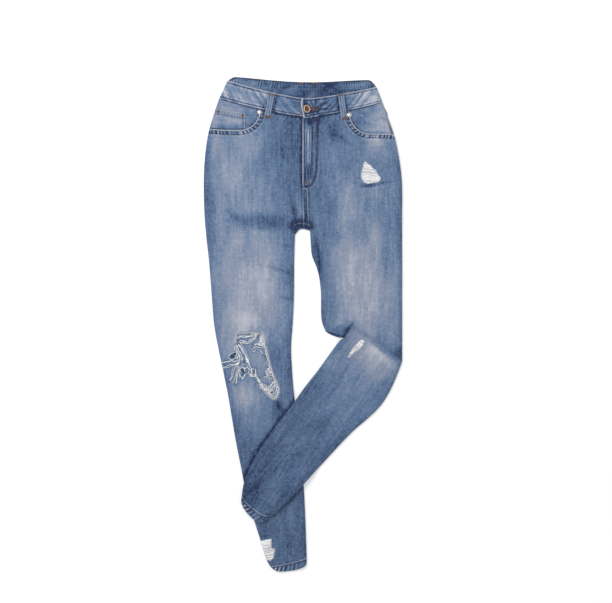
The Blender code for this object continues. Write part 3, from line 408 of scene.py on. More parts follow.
@lru_cache(maxsize=None)
def seam_lines():
    """Fine outlines of the two halves, by edge."""
    thigh = np.vstack([curve(LEFT_THIGH_INSEAM)[:-1], curve(LEFT_LOBE)])
    return {
        "right_outseam": curve(RIGHT_OUTSEAM),
        "right_hem": curve(RIGHT_HEM),
        "right_inseam": curve(RIGHT_INSEAM),
        "right_crotch": curve(RIGHT_CROTCH),
        "left_crotch": curve(LEFT_CROTCH),
        "left_inseam": thigh,
        "left_notch": dense([thigh[-1], NOTCH_FOOT, KNEE_NOTCH]),
        "left_shin_in": np.vstack([dense(LEFT_SHIN_INSEAM[:2])[:-1], curve(LEFT_SHIN_INSEAM[1:])]),
        "left_hem": curve(LEFT_HEM),
        "left_shin_out": curve(LEFT_SHIN_OUTSEAM),
        "left_outseam": curve(LEFT_THIGH_OUTSEAM),
    }


def on_outseam(side, y):
    """The outseam's point at a height; on the left half it is the thigh's."""
    line = seam_lines()[side + "_outseam"]
    order = np.argsort(line[:, 1])
    return np.array([np.interp(y, line[order, 1], line[order, 0]), y])


def to_outseam(line, side):
    """The line with its last point put on the outseam."""
    return np.vstack([line[:-1], on_outseam(side, line[-1][1])])


def stretch(side, start, end):
    """The part of the outseam between two heights, with its ends put exactly there."""
    line = seam_lines()[side + "_outseam"]
    kept = line[(line[:, 1] < max(start, end) - 0.8) & (line[:, 1] > min(start, end) + 0.8)]
    return np.vstack([on_outseam(side, start), kept, on_outseam(side, end)])


def centre_line(top_y):
    """Centre seam from the fly's edge down to the crotch, a little aslant."""
    return dense([(FLY_EDGE_X, top_y), (FLY_EDGE_X, FLY_BOTTOM_Y), (CENTRE_X, CROTCH_Y)])


def one_way(edges, side):
    """Edges written for the right half, run the other way round on the left one."""
    return [line[::-1] for line in edges[::-1]] if side == "left" else edges


def lengthened(name, at_start, at_end):
    """A rolled edge with a straight tail past each end that meets a cut edge."""
    line = seam_lines()[name]
    head = line[0] - (line[1] - line[0]) * EDGE_TAIL / np.linalg.norm(line[1] - line[0])
    tail = line[-1] + (line[-1] - line[-2]) * EDGE_TAIL / np.linalg.norm(line[-1] - line[-2])
    return np.vstack([[head]] * at_start + [line] + [[tail]] * at_end)


# Edges over which a half's front and back meet, and whether each has a tail at its start and its end.
ROLLED = {
    "right": [("right_outseam", 1, 1), ("right_inseam", 1, 0), ("right_crotch", 0, 0)],
    "left": [
        ("left_crotch", 0, 0), ("left_inseam", 0, 0), ("left_notch", 0, 0), ("left_shin_in", 0, 1),
        ("left_shin_out", 1, 0), ("left_outseam", 0, 1),
    ],
}


@lru_cache(maxsize=None)
def rolled_edges(half):
    return [lengthened(*row) for row in ROLLED[half]]


# Heights --------------------------------------------------------------------------------------

# Troughs: path, depth, half width and the height of the lips beside them.
TROUGHS = [
    ([(-43, 372), (-46, 352)], 1, 5, 0.4), ([(-84, 124), (-50, 114), (-19, 103)], 1.6, 4, 0.9),
    ([(-50, 55), (-20, 48)], 1.5, 4.5, 0.9), ([(-46, 168), (-20, 160)], 1, 4.5, 0.6),
    ([(-148, 82), (-108, 66)], 0.8, 5, 0.5), ([(-60, -156), (-54, -170), (-46, -192)], 2.2, 6, 1.5),
    ([(27, 180), (35, 155), (40, 124), (38, 98)], 2.6, 5, 1.6),
    ([(71, 398), (86, 384), (104, 374)], 1.5, 7, 1),
    ([(118, 290), (147, 289), (166, 294), (196, 301)], 1.6, 3.4, 1.2),
    ([(72, 178), (100, 166)], 0.9, 5, 0.6), ([(102, 58), (102, 20)], 1, 4, 0.6),
    ([(-4, 232), (-24, 226)], 1.6, 4, 0.7), ([(-8, 222), (-30, 244)], 1.2, 5, 0.6),
    ([(60, -15), (76, -8.5), (101, -1)], 1.5, 4, 0.4), ([(40, -97), (26, -130)], 1.1, 8, 0.5),
    ([(-76, -325), (-94, -294)], 1.2, 7, 0.6), ([(-12, -281), (2, -262)], 0.8, 5, 0.4),
    ([(150, -120), (176, -132)], 1, 9, 0.5),
]
# Fold across the seat: path, height, reach above it and drop below it.
SEAT_FOLD = ([(-160, 244), (-140, 228), (-116, 214), (-88, 205), (-55, 211), (-29, 216)], 2.6, 34, 9)
# Sewn rows of the hems, of the crotch and of the fly.
HEM_STITCHES = {
    "right": [(-78, -512), (-66.2, -510), (-30.2, -504.8), (6.3, -493.5), (14, -490)],
    "left": [
        (-135, -352), (-127.3, -363.3), (-114.7, -380.1), (-100.8, -391), (-86.1, -400), (-72.5, -402.5),
        (-62, -401),
    ],
}
CROTCH_STITCHES = [(-21, 205), (-13, 209.4), (-5, 211), (3, 210.4), (9, 208.6), (15, 205.4)]
FLY_STITCHES = [(32.3, 431), (32, 385), (30.7, 340.2), (27.3, 310.8), (19, 291), (7.1, 286.4)]
# Creases of the backs: path, depth and half width.
BACK_CREASES = {
    "right": [
        ([(-190, 190), (-130, 165), (-60, 172)], 1.4, 7), ([(-150, -20), (-110, -38), (-50, -30)], 1.5, 5),
        ([(-140, -62), (-100, -50), (-45, -62)], 1.2, 5), ([(-160, 30), (-120, 18)], 1, 4),
        ([(-90, -330), (-60, -345), (-30, -338)], 0.9, 6),
    ],
    "left": [
        ([(190, 185), (120, 160), (50, 170)], 1.4, 7), ([(60, 40), (110, 28), (190, 44)], 1.3, 5),
        ([(70, 8), (120, 4)], 1.2, 5), ([(40, -200), (80, -180)], 1, 6),
    ],
}
# Rim of the folded layers under the knee, as share along the fold and distance past it, and its layers
# from the floor up, as share of the room's height and size.
PLEAT_AREA = 0.0034
KNEE_PLEAT_RIM = [
    (0.08, 5), (0.3, 4), (0.55, 5), (0.75, 7), (0.8, 14), (0.66, 26), (0.42, 38), (0.2, 42), (0.09, 34),
    (0.06, 18),
]
KNEE_PLEAT_LAYERS = [
    (0, 0.93), (0.1, 0.99), (0.22, 1), (0.32, 0.97), (0.36, 0.93), (0.42, 0.955), (0.54, 0.965),
    (0.64, 0.93), (0.68, 0.88), (0.76, 0.9), (0.86, 0.87), (0.93, 0.78),
]
BUTTON_PROFILE = [
    (3.9, -5.8, 0.5), (3.4, -4.4, 0.5), (3.1, -1.4, 0.6), (3.6, -0.3, 0.6), (7.2, -0.2, 0.6),
    (8.2, 0.3, 0.4), (8.7, 1, 0.1), (8.6, 1.8, 0), (8.1, 2.4, 0), (7.2, 2.7, 0), (6.4, 2.5, 0),
    (5.8, 2, 0.2), (5.3, 1.5, 0.4), (4.6, 1.2, 0.8), (3.8, 1.2, 1), (3.1, 1.6, 0.8), (2.6, 1.7, 0.9),
    (2.1, 1.3, 1), (1.5, 0.6, 1), (0.3, 0.4, 1),
]
RIVET_PROFILE = [
    (5.1, 0, 0.4), (5.2, 0.4, 0.2), (5, 0.9, 0), (4.5, 1.1, 0.1), (4.1, 1, 0.5), (3.7, 1.2, 0.3),
    (3.3, 1.8, 0), (2.5, 2.3, 0), (1.5, 2.55, 0), (0.3, 2.6, 0),
]
BARTACK_PITCH = 0.72
KNEE_FOLD = [(118, -12), (133, -30), (149, -43), (172, -64), (205, -84)]


def torso_base(p):
    seat = ramp(p[:, 1], SEAT_FOOT_Y, SEAT_RAMP)
    band = ramp(p[:, 1], BAND_RAMP_Y, BAND_RAMP)
    return POCKET_LIFT * seat + (BAND_LIFT - POCKET_LIFT) * band


def hip_lift(p):
    right = smooth((HIP_LIFT_X["right"] - p[:, 0]) / HIP_RAMP)
    left = smooth((p[:, 0] - HIP_LIFT_X["left"]) / HIP_RAMP)
    return HIP_LIFT * np.maximum(right, left) * ramp(p[:, 1], HIP_FOOT_Y, HIP_RAMP)


def fly_lift(p):
    across = 1 - ramp(p[:, 0], FLY_RAISE_END_X, FLY_RAMP_END_X - FLY_RAISE_END_X)
    return FLY_LIFT * across * ramp(p[:, 1], FLY_FADE_Y, FLY_BOTTOM_Y - FLY_FADE_Y)


def crown(d):
    return LAID_HEIGHT + (EDGE_CREST - LAID_HEIGHT) * (1 - ramp(d, EDGE_RADIUS, CREST_FADE))


def over_right_leg(p):
    inseam = seam_lines()["right_inseam"]
    d, _ = nearest(p, [inseam[::4]])
    past = np.where(p[:, 0] > np.interp(p[:, 1], inseam[:, 1], inseam[:, 0]), d, 0)
    return CROSS_HEIGHT * (1 - ramp(past, CROSS_LEDGE, CROSS_RAMP))


def knee_frame(p):
    """Place along the knee's fold line, from notch to corner, and the distance past it to the shin."""
    way = np.subtract(KNEE_CORNER, KNEE_NOTCH)
    length = np.linalg.norm(way)
    way = way / length
    return (p - KNEE_NOTCH) @ way / length, (p - KNEE_NOTCH) @ (way[1], -way[0])


def on_shin(p):
    corner = np.array(LEFT_SHIN_INSEAM[1])
    edge, rel = corner - KNEE_NOTCH, p - KNEE_NOTCH
    beside = edge[0] * rel[:, 1] - edge[1] * rel[:, 0]
    return (knee_frame(p)[1] > 0) & ((beside > -0.02) | (p[:, 1] < corner[1]))


def knee_rise(p):
    share, past = knee_frame(p)
    fade = 1 - ramp(past, KNEE_FADE_START, KNEE_FADE)
    return KNEE_RISE * np.clip(1.05 - share, 0, 1) ** 0.7 * smooth(past / KNEE_CLIMB) * fade


def base_of(p, half):
    if half == "right":
        return torso_base(p)
    shin = np.maximum(knee_rise(p), over_right_leg(p) * (p[:, 1] < CROSS_TOP_Y))
    return np.where(on_shin(p), shin, torso_base(p))


def creases(p):
    """Troughs of the fronts, and the fold across the seat of the right one."""
    rise = np.zeros(len(p))
    for path, depth, width, lip in TROUGHS:
        d, _, fade = on_path(p, path, 0.4)
        rise += fade * (lip * bell(d - 2.4 * width, 1.4 * width) - depth * bell(d, width))
    path, height, reach, drop = SEAT_FOLD
    d, side, fade = on_path(p, path, 0.25)
    return rise + height * fade * np.where(side > 0, 1 - smooth(d / reach), 1 - smooth(d / drop))


def on_path(p, path, tail):
    """Distance to a crease, side of it, and its strength, which fades out over a share of its length."""
    path = curve(path, 6)
    d, place, side = follow(p, path)
    end = run_of(path)[-1]
    return d, side, smooth(place / (tail * end)) * ramp(end, place, tail * end)


def knee_crease(p):
    """The turned knee: the thigh dips before the fold and the shin stands up past it."""
    path = curve(KNEE_FOLD, 5)
    d, place, side = follow(p, path)
    depth = smooth(place / run_of(path)[-1] / 0.55)
    dip = -2.4 * bell(d - 3, 7) * depth * (side > 0)
    return dip + 2.2 * bell(d - 5, 6) * (0.3 + 0.7 * depth) * (side < 0)


def wrinkles(p, seed):
    """Slight unevenness of cloth that has been worn and washed."""
    broad = 0.55 * drift(p, (46, 60), seed) + 0.28 * drift(p, (21, 30), seed + 1)
    return broad + 0.12 * drift(p, 9, seed + 2)


def front_lift(p, half, d):
    calm = smooth(d / 16)
    lift = hip_lift(p) + (creases(p) + wrinkles(p, 3 if half == "right" else 7)) * calm
    if half == "left":
        lift += fly_lift(p) + knee_crease(p) * smooth(d / 6)
    return lift


def roll(d):
    """Turn and rise of an edge rolled over, at a distance from it."""
    turn = np.clip(1 - d / EDGE_RADIUS, 0, 1)
    return turn, np.sqrt(1 - turn * turn)


def front_top(p, half):
    """Height of a front's upper face."""
    d = nearest(p, rolled_edges(half))[0]
    seam = SEAM_LEVEL + SEAM_GAP
    reach = crown(d) + front_lift(p, half, d) + seam_relief(p, half) - seam
    return base_of(p, half) + seam + reach * roll(d)[1]


def front_points(p, half, level):
    """The plan raised to a face that lies inside a front's upper one, at a depth."""
    d, away = nearest(p, rolled_edges(half))
    turn, up = roll(d)
    seam = SEAM_LEVEL + SEAM_GAP
    reach = crown(d) + front_lift(p, half, d) - seam
    out, rise = turn / EDGE_RADIUS, up / reach
    size = np.hypot(out, rise)
    moved = p + away * (level * out / size)[:, None]
    return columns(moved, base_of(p, half) + seam + reach * up - level * rise / size)


def back_under(p, half):
    """Height of a back's under face."""
    d = nearest(p, rolled_edges(half))[0]
    return base_of(p, half) + SEAM_LEVEL * (1 - roll(d)[1]) + back_dents(p, half) * smooth(d / 14)


def back_dents(p, half):
    """Creases that the backs have from wear, pressed up from below."""
    rise = 0.5 + 0.5 * drift(p, (40, 55), 31 if half == "right" else 35)
    for path, depth, width in BACK_CREASES[half]:
        d, _, fade = on_path(p, path, 0.35)
        rise += depth * bell(d, width) * fade
    if half == "right":
        rise += 1.8 * ramp(depth_inside(p, rip_line()), -3, 9)
    return rise


def pucker(place, d, pitch):
    """Slanted ridges across a sewn edge, uneven in strength."""
    strength = 0.75 + 0.35 * np.sin(place / 17) * np.sin(place / 7.1 + 1)
    return strength * np.sin(2 * np.pi * (place + 0.6 * d) / pitch)


def blocks(place, pitch, seed):
    """Light and dark blocks along a sewn edge, uneven in length and strength, from -1 to 1."""
    spot = columns(place, 0 * place)
    wander = drift(spot, (1.7 * pitch, 9), seed)
    strength = 0.7 + 0.5 * drift(spot, (2.6 * pitch, 9), seed + 1)
    return strength * np.tanh(2 * np.sin(2 * np.pi * place / pitch + 2.6 * wander) + 0.8 * wander)


@lru_cache(maxsize=None)
def hem_line(half):
    """The hem's stitches, kept between the leg's edges."""
    line = curve(HEM_STITCHES[half], 1.5)
    return line[depth_inside(line, outline_of(front_edges(half))) > 1]


def in_hem(p, half):
    """Distance below the hem's stitches, and place along them."""
    d, place, side = follow(p, hem_line(half))
    return np.where(side < 0, d, -d), place


def seam_relief(p, half):
    """Puckers and turned lips beside the pocket mouth, the fly, the centre seam and the hem."""
    d, place, _ = follow(p, scoop_line(half))
    band = ramp(d, 1.8, 1.4) * (1 - ramp(d, 9, 2))
    rise = 0.7 * bell(d - 1, 1.3) + band * (0.1 + 0.28 * blocks(place + 0.3 * d, 7.4, 26))
    rise -= 0.9 * (1 - smooth(d)) + 0.3 * bell(d - 8.4, 0.7) + 0.25 * bell(d - 2.4, 0.6)
    below, place = in_hem(p, half)
    teeth = 0.8 + 0.4 * blocks(place + 0.3 * below, 9, 24)
    rise += ramp(below, -0.5, 1.5) * teeth - 0.45 * bell(below, 0.9)
    rise -= 1.4 * (1 - smooth(off(p, seam_lines()[half + "_hem"]) / 1.8))
    d, place, _ = follow(p, front_waist())
    rise += bell(d, 6) * 0.28 * pucker(place, d, 8.5)
    for line in felled_rows():
        rise -= 0.3 * bell(off(p, line), 0.8) * (p[:, 1] > CROTCH_Y)
    rise += 0.9 * (1 - ramp(off(p, sum(felled_rows()) / 2), 4, 2.5))
    return rise + fly_relief(p) if half == "left" else rise


def fly_relief(p):
    """The fly's turned edge, its long pressed folds and the groove of its curved stitching."""
    x, y = p.T
    edge = x - FLY_EDGE_X
    upright = ramp(y, FLY_BOTTOM_Y, 14) * (edge < 40)
    rise = upright * (0.5 * bell(edge - 1.4, 1.2) - 0.35 * bell(edge - 3.2, 0.7))
    for fold_x, height, width in ((6.2, 0.5, 1.3), (10.9, 0.6, 1.4), (15.7, 0.6, 1.4), (22, 0.4, 1.4)):
        rise += upright * height * bell(x - fold_x - fly_sway(y, fold_x), width) * ramp(y, 300, 30)
    d = off(p, curve(FLY_STITCHES))
    return rise - 0.35 * bell(d, 1) - 0.35 * bell(d - 3.2, 1)


def fly_sway(y, x):
    return np.sin(y / 33 + x / 18)


@lru_cache(maxsize=None)
def felled_rows():
    """The two rows of stitches down the felled centre seam."""
    heights = np.linspace(280, 203, 16)
    return [columns(np.interp(heights, [214, 281], ends), heights) for ends in ([1.1, 0], [11.6, 8.4])]


# Cloth meshes ---------------------------------------------------------------------------------


def fill(outline, holes, rolled, zones, step):
    """Fine triangles that fill an outline: rings by its rolled edges, close points by its seams."""
    loops = [outline, *holes]
    closed = [closed_of(loop) for loop in loops]
    points, edges, start = list(loops), [], 0
    for loop in loops:
        edges += [(start + i, start + (i + 1) % len(loop)) for i in range(len(loop))]
        start += len(loop)
    for offset in EDGE_RINGS:
        for line in rolled:
            ring = beside(dense(line), offset)
            points.append(ring[in_loops(ring, loops) & (nearest(ring, closed)[0] > 0.85 * offset)])

    def in_zone(grid):
        found = np.zeros(len(grid), bool)
        for line, reach in zones:
            close = ((grid > line.min(axis=0) - reach) & (grid < line.max(axis=0) + reach)).all(axis=1)
            found[np.flatnonzero(close)[off(grid[close], line) < reach]] = True
        return found

    def clear(grid, of_edge, of_roll):
        far = (nearest(grid, closed)[0] > of_edge) & (nearest(grid, rolled)[0] > EDGE_RADIUS + of_roll)
        return far & in_loops(grid, loops)

    fine, coarse = lattice(outline, FINE_STEP), lattice(outline, step)
    fine = fine[in_zone(fine)]
    points.append(fine[clear(fine, 0.7, 0.4)])
    points.append(coarse[clear(coarse, 0.45 * step, 0.4 * step) & ~in_zone(coarse)])
    found, _, faces, *_ = delaunay_2d_cdt([Vector(p) for p in np.vstack(points)], edges, [], 0, 1e-4)
    plan, faces = np.array([tuple(p) for p in found]), np.array(faces)
    return plan, faces[in_loops(plan[faces].mean(axis=1), loops)]


def lattice(outline, step):
    """Points of a slightly staggered grid over an outline's box."""
    low, high = outline.min(axis=0), outline.max(axis=0)
    rows = np.arange(low[1], high[1], step * 0.87)
    x, y = np.meshgrid(np.arange(low[0], high[0], step), rows)
    return columns((x + (np.arange(len(rows)) % 2)[:, None] * step / 2).ravel(), y.ravel())


def in_loops(points, loops):
    """True inside the first loop and outside its holes."""
    outline, *holes = (inside(points, loop) for loop in loops)
    return outline & ~np.any([np.zeros(len(points), bool), *holes], axis=0)


def outline_of(edges):
    return np.vstack([line[:-1] for line in edges])


def shell_points(plan, faces, height, thick):
    """Outer face from the heights, and inner face a cloth's thickness below it along its normals."""
    outer = columns(plan, height)
    a, b, c = (outer[faces[:, k]] for k in range(3))
    normals = np.zeros_like(outer)
    for k in range(3):
        np.add.at(normals, faces[:, k], np.cross(b - a, c - a))
    normals /= np.maximum(np.linalg.norm(normals, axis=1), 1e-12)[:, None]
    normals[normals[:, 2] < 0] *= -1
    return outer, outer - normals * thick


def tube_faces(rings, around, start=0):
    """Faces of a tube: quads between its rings of corners, and a cap on each end."""
    faces = []
    for a in range(start, start + (rings - 1) * around, around):
        b = a + around
        faces += [(a + k, a + (k + 1) % around, b + (k + 1) % around, b + k) for k in range(around)]
    last = start + (rings - 1) * around
    return faces + [tuple(range(start, start + around))[::-1], tuple(range(last, last + around))]


def close_wall(faces, count, upper):
    """Faces of a closed wall of cloth: the outer face, the inner one and the rim between them."""
    directed = np.concatenate([faces[:, [0, 1]], faces[:, [1, 2]], faces[:, [2, 0]]])
    codes = directed[:, 0] * count + directed[:, 1]
    a, b = directed[~np.isin(codes, directed[:, 1] * count + directed[:, 0])].T
    flip = 1 if upper else -1
    parts = faces[:, ::flip], faces[:, ::-flip] + count, columns(b, a, a + count, b + count)[:, ::flip]
    return [tuple(face) for part in parts for face in part.tolist()]


def new_piece(name, points, faces, finish, values=None, weave=None):
    """A mesh object, in metres from millimetres, with its values at each point and its weave map."""
    mesh = bpy.data.meshes.new(name)
    mesh.from_pydata((np.asarray(points, float) * MM).tolist(), [], faces)
    for key, data in (values or {}).items():
        mesh.attributes.new(key, "FLOAT", "POINT").data.foreach_set("value", np.asarray(data, np.float32))
    if weave is not None:
        corner = np.zeros(len(mesh.loops), int)
        mesh.loops.foreach_get("vertex_index", corner)
        places = (np.asarray(weave, float)[corner] * MM).astype(np.float32)
        mesh.uv_layers.new(name="weave").data.foreach_set("uv", places.ravel())
    mesh.materials.append(finish)
    made = bpy.data.objects.new(name, mesh)
    bpy.context.scene.collection.objects.link(made)
    mesh.shade_smooth()
    mesh.update()
    return made


def new_fitting(name, points, faces, finish, slot="denim", values=None):
    """Thread, yarn or metal: a piece that rides on the jeans."""
    made = new_piece(name, points, faces, finish, values)
    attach(made, "root")
    return made


def new_cloth(name, node, points, faces, values, weave, area, flat, rests_on, held="laid"):
    """A cut piece of denim that stands for its node."""
    values = {"bare": np.full(len(points), UNWORN), "inner": np.zeros(len(points)), **values}
    made = new_piece(name, points, faces, denim(), values, weave)
    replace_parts(made, node)
    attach(made, "root")


def cloth_piece(name, node, plan, faces, outer, inner, values, flat, rests_on, upper=True):
    """A piece of cloth with an outer face, an inner one and the rim between them."""
    fade, bare = values["fade"], values.get("bare", np.full(len(plan), UNWORN))
    fades = np.concatenate([fade, values.get("within", fade)])
    values = {"fade": fades, "bare": np.tile(bare, 2), "inner": np.repeat([0.0, 1.0], len(plan))}
    weave = np.tile(weave_map(plan, node), (2, 1))
    a, b, c = (plan[faces[:, k]] for k in range(3))
    area = np.abs(np.linalg.det(np.stack([b - a, c - a], axis=1))).sum() / 2 * MM * MM
    points, solid = np.vstack([outer, inner]), close_wall(faces, len(plan), upper)
    new_cloth(name, node, points, solid, values, weave, float(area), flat, rests_on)


def weave_map(plan, node):
    """Cloth grain: upright on the body and thighs, and along the shin on the bent leg."""
    if node not in ("front_left", "back_left"):
        return plan
    c, s = math.cos(math.radians(SHIN_TURN)), math.sin(math.radians(SHIN_TURN))
    return np.where(on_shin(plan)[:, None], plan @ np.array([[c, -s], [s, c]]), plan)


# Waistband and loops --------------------------------------------------------------------------


def band_plan(share, on_front, height):
    """Plan of the band at shares of its length, -1 to 1 from fold to fold, and of its width."""
    t = (share + 1) / 2
    ends = [*zip(*BAND_FOLDS["right"], BACK_TOP_ENDS[0]), *zip(*BAND_FOLDS["left"], BACK_TOP_ENDS[1])]
    places = ([a + t * (b - a) for a, b in zip(*ends[k::2])] for k in (0, 1))
    (top_x, foot_x, _), (straight, _, back_top) = places
    bow = np.sin(np.minimum(1, (1 - np.abs(share)) / BAND_CORNER) * math.pi / 2)
    back_y = straight + (back_top - BACK_TOP_SAG * (1 - share**2) ** 2 - straight) * bow
    top_y = np.where(on_front, waist_dip(top_x, FRONT_TOP_DIP_Y, 0), back_y)
    foot_y = np.where(on_front, front_seam_y(foot_x), back_seam_y(foot_x))
    past_end = foot_x - BAND_END_X
    foot_y = foot_y - on_front * BAND_END_DROP * smooth(past_end + 0.6) * (1 - smooth(past_end / 48))
    slant = on_front * BAND_END_SLANT * (1 - smooth(np.abs(past_end) / 20)) * (1 - smooth(height / 0.65))
    return foot_x + slant + height * (top_x - foot_x), foot_y + height * (top_y - foot_y)


def band_surface(share, on_front, height, level, lap):
    """Points of the band's outer face, moved in by level and up by lap."""
    x, y = band_plan(share, on_front, height)
    d = (1 - np.abs(share)) * BAND_HALF
    turn, up = roll(d)
    middle = BAND_LIFT + BAND_FOLD_LEVEL
    swell = BAND_SWELL * (1 - ramp(d, EDGE_RADIUS, CREST_FADE))
    reach = np.where(on_front, BAND_TOP + swell - middle, BAND_FOLD_LEVEL)
    out, rise = np.copysign(turn / EDGE_RADIUS, share), up / reach
    sign, size = np.where(on_front, 1, -1), np.hypot(out, rise)
    return columns(x - level * out / size, y, middle + sign * (reach * up - level * rise / size) + lap)


def band_relief(run, height, inner):
    """Rope along both edges of the band, puckers by its seam and slack between."""
    top, foot = (1 - height) * BAND_WIDTH, height * BAND_WIDTH
    spot = columns(run, foot)
    rise = 0.3 * drift(spot, (16, 10), 61) + 0.25 * drift(spot, (7, 12), 62)
    rise += bell(top - 1.4, 1.6) * (0.45 + 0.22 * pucker(run, top, 6.5)) - 0.3 * bell(top - 3.6, 0.8)
    rise += bell(foot - 1.2, 1.6) * (0.35 + 0.2 * pucker(run, foot, 6)) - 0.3 * bell(foot - 3.2, 0.8)
    lumps = 0.5 * drift(spot, (11, 9), 63)
    return np.where(inner, 0.42 * band_ribs(run, height) + lumps, rise)


def band_ribs(run, height):
    """Ribs across the inside of the band, uneven in strength, slant and pitch, from -1 to 1."""
    spot = columns(run, height * BAND_WIDTH)
    turn = 2 * np.pi * run / 5.6 + 1.5 * np.sin(run / 13) + 2.6 * drift(spot, (19, 26), 64)
    return np.sin(turn) * (0.55 + 0.7 * drift(spot, (13, 20), 65)) * ramp(height, 0.45, 0.3)


def band_fade_and_shade(run, height, inner):
    """How far the band has faded: worn at the hips, dark by the button and inside, with painted shadow beside
    the front loops.
    """
    top, foot = (1 - height) * BAND_WIDTH, height * BAND_WIDTH
    spot = columns(run + 0.8 * foot, foot)
    slack = columns(run + 1.1 * foot * np.sign(CENTRE_X - run), foot + 0.3 * run)
    worn = 0.68 - 0.34 * bell(run - CENTRE_X, 70) + 0.14 * ramp(run, 100, 40)
    worn += 0.1 * drift(spot, (8, 6), 71) + 0.12 * drift(spot, (20, 14), 72)
    worn += 0.24 * drift(slack, (7, 40), 70) - 0.16 * bell(run - 22, 22)
    worn -= 0.34 * bell(foot - 7.4, 3) * np.clip(blocks(run - 0.4 * foot, 8, 74), 0, 1)
    worn -= 0.3 * bell(top - 6.6, 3) * np.clip(blocks(run + 0.5 * top, 9.5, 75), 0, 1)
    # Painted shadow round and beside each front loop.
    for middle in (LOOPS["loop_front_right"][0][0] - 4, LOOPS["loop_front_left"][0][0] + 4):
        worn -= 0.2 * bell(run - middle, 15) + 0.4 * bell(np.abs(run - middle) - 7.5, 2.6)
    worn += 0.8 * bell(top - 0.5, 1.5) - 0.5 * bell(top - 4.2, 1.2) + 0.25 * bell(top - 7, 1.4)
    worn += 0.34 * bell(foot - 2, 1) - 0.62 * bell(foot - 4.6, 1.1) + 0.3 * bell(foot - 7.4, 1.5)
    worn -= 0.45 * bell(foot, 0.9) + 0.14 * bell(foot - 2, 1.6) * pucker(run, foot, 6)
    off_hole = np.hypot(np.clip(np.abs(run - HOLE["x"]) - HOLE["half"], 0, None), foot - HOLE["foot"])
    worn -= 0.75 * bell(off_hole - 4.4, 1.2) + 0.8 * bell(off_hole, 1.2)
    around = np.arctan2(foot - HOLE["foot"], run - HOLE["x"])
    worn += 0.34 * bell(off_hole - 12, 7) * np.sin(9 * around + 1.4 * np.sin(3 * around))
    hidden = 0.14 + 0.36 * band_ribs(run, height) + 0.24 * drift(spot, (12, 10), 73)
    across = FOLD_LEFT_X * 2 - run
    hidden += 0.3 * smooth(np.abs(across - CENTRE_X) / 150) - 0.5 * bell(top - 1.6, 1.8)
    hidden += 0.08 * bell(across, 40) - 0.22 * bell(across - 66, 20)
    return np.clip(np.where(inner, hidden, worn), 0, 1)


def band_face(share, on_front, height, level, lap, inner):
    """Points of the band's worn face, and how far along the band they lie."""
    foot_x = band_foot_x(share)
    run = np.where(on_front, foot_x, 2 * FOLD_LEFT_X - foot_x)
    ease = smooth((1 - np.abs(share)) * BAND_HALF / 12)
    proud = np.where(inner, -1, 1) * band_relief(run, height, inner) * ease
    return band_surface(share, on_front, height, level - proud, lap), run


def band_walk():
    """Stations from the buttonhole end round the back to the button end."""
    near = 1 - np.array([9, *EDGE_RINGS[::-1]]) / BAND_HALF
    first, last = band_share(BAND_END_X), band_share(BAND_UNDERLAP_X)
    fronts = np.arange(first, near[0] - 0.004, 2 / BAND_HALF)
    backs = np.linspace(near[0] - 0.012, -near[0] + 0.012, 116)
    unders = np.arange(-near[0] + 0.008, last, 2 / BAND_HALF)
    folds = [near, [1], near[::-1], backs, -near, [-1], -near[::-1]]
    share = np.concatenate([fronts, *folds, unders, [last]])
    turns = [len(fronts) + len(near) + 1, 2 * len(near) + len(backs) + 1, len(near) + len(unders) + 1]
    return share, np.repeat([True, False, True], turns), np.repeat([True, False, False], turns)


def band_share(foot_x):
    return (foot_x - FOLD_RIGHT_X) / BAND_HALF - 1


def band_foot_x(share):
    return FOLD_RIGHT_X + (share + 1) * BAND_HALF


def band_lift(foot_x, over, on_front):
    """Lift of the band's outer end over the one with the button, which sinks under it."""
    lap = BAND_LAP * (1 - ramp(foot_x, BAND_UNDERLAP_X + 2, 14))
    return np.where(over, lap, np.where(on_front, -BAND_SINK * ramp(foot_x, -22, 14), 0))


def make_waistband():
    share, on_front, over = band_walk()
    turns = np.radians([-60, -20, 20, 60])
    rim = columns(1 - np.cos(turns), 1 - np.sin(turns)) * BAND_THICK / 2
    outer = [1.2, 2.2, 3.2, 4.4, 6, *np.linspace(8, 33, 13)]
    outer += [BAND_WIDTH - w for w in (5.2, 4.2, 3.4, 2.4, 1.4)]
    inner = [BAND_WIDTH - w for w in (2, 4, 7, 10, 14, 19, 25, 31, 37)]
    top = rim[::-1] * (-1, 1) + (BAND_WIDTH, 0)
    section = [*rim, *((w, 0) for w in outer), *top, *((w, BAND_THICK) for w in inner)]
    past_end = band_foot_x(share) - BAND_END_X
    end_lip = over * (1.4 * bell(past_end - 1, 2.4) - 0.7 * bell(past_end - 6.4, 1.8))
    lap = band_lift(band_foot_x(share), over, on_front)
    points, fade, weave = [], [], []
    for width, level in section:
        height = np.full(len(share), width / BAND_WIDTH)
        inside_face = np.full(len(share), level > 0.75 * BAND_THICK)
        face, run = band_face(share, on_front, height, level, lap, inside_face)
        points.append(face)
        fade.append(np.clip(band_fade_and_shade(run, height, inside_face) + end_lip, 0, 1))
        weave.append(columns(height * BAND_WIDTH, run))
    area = BAND_LENGTH * BAND_WIDTH * MM * MM
    cut = (area, (BAND_WIDTH * MM, BAND_LENGTH * MM), ["right_yoke", "left_yoke"])
    strip("waistband_cloth", "waistband", points, fade, weave, False, cut)


def strip(name, node, rows, fade, weave, flipped, cut):
    """A closed strip of cloth from rows of points round its section, each along its length."""
    points, weave = (np.swapaxes(part, 0, 1) for part in (rows, weave))
    faces = tube_faces(*points.shape[:2])
    if flipped:
        faces = [face[::-1] for face in faces]
    values = {"fade": np.clip(fade, 0, 1).T.ravel()}
    new_cloth(name, node, points.reshape(-1, 3), faces, values, weave.reshape(-1, 2), *cut)


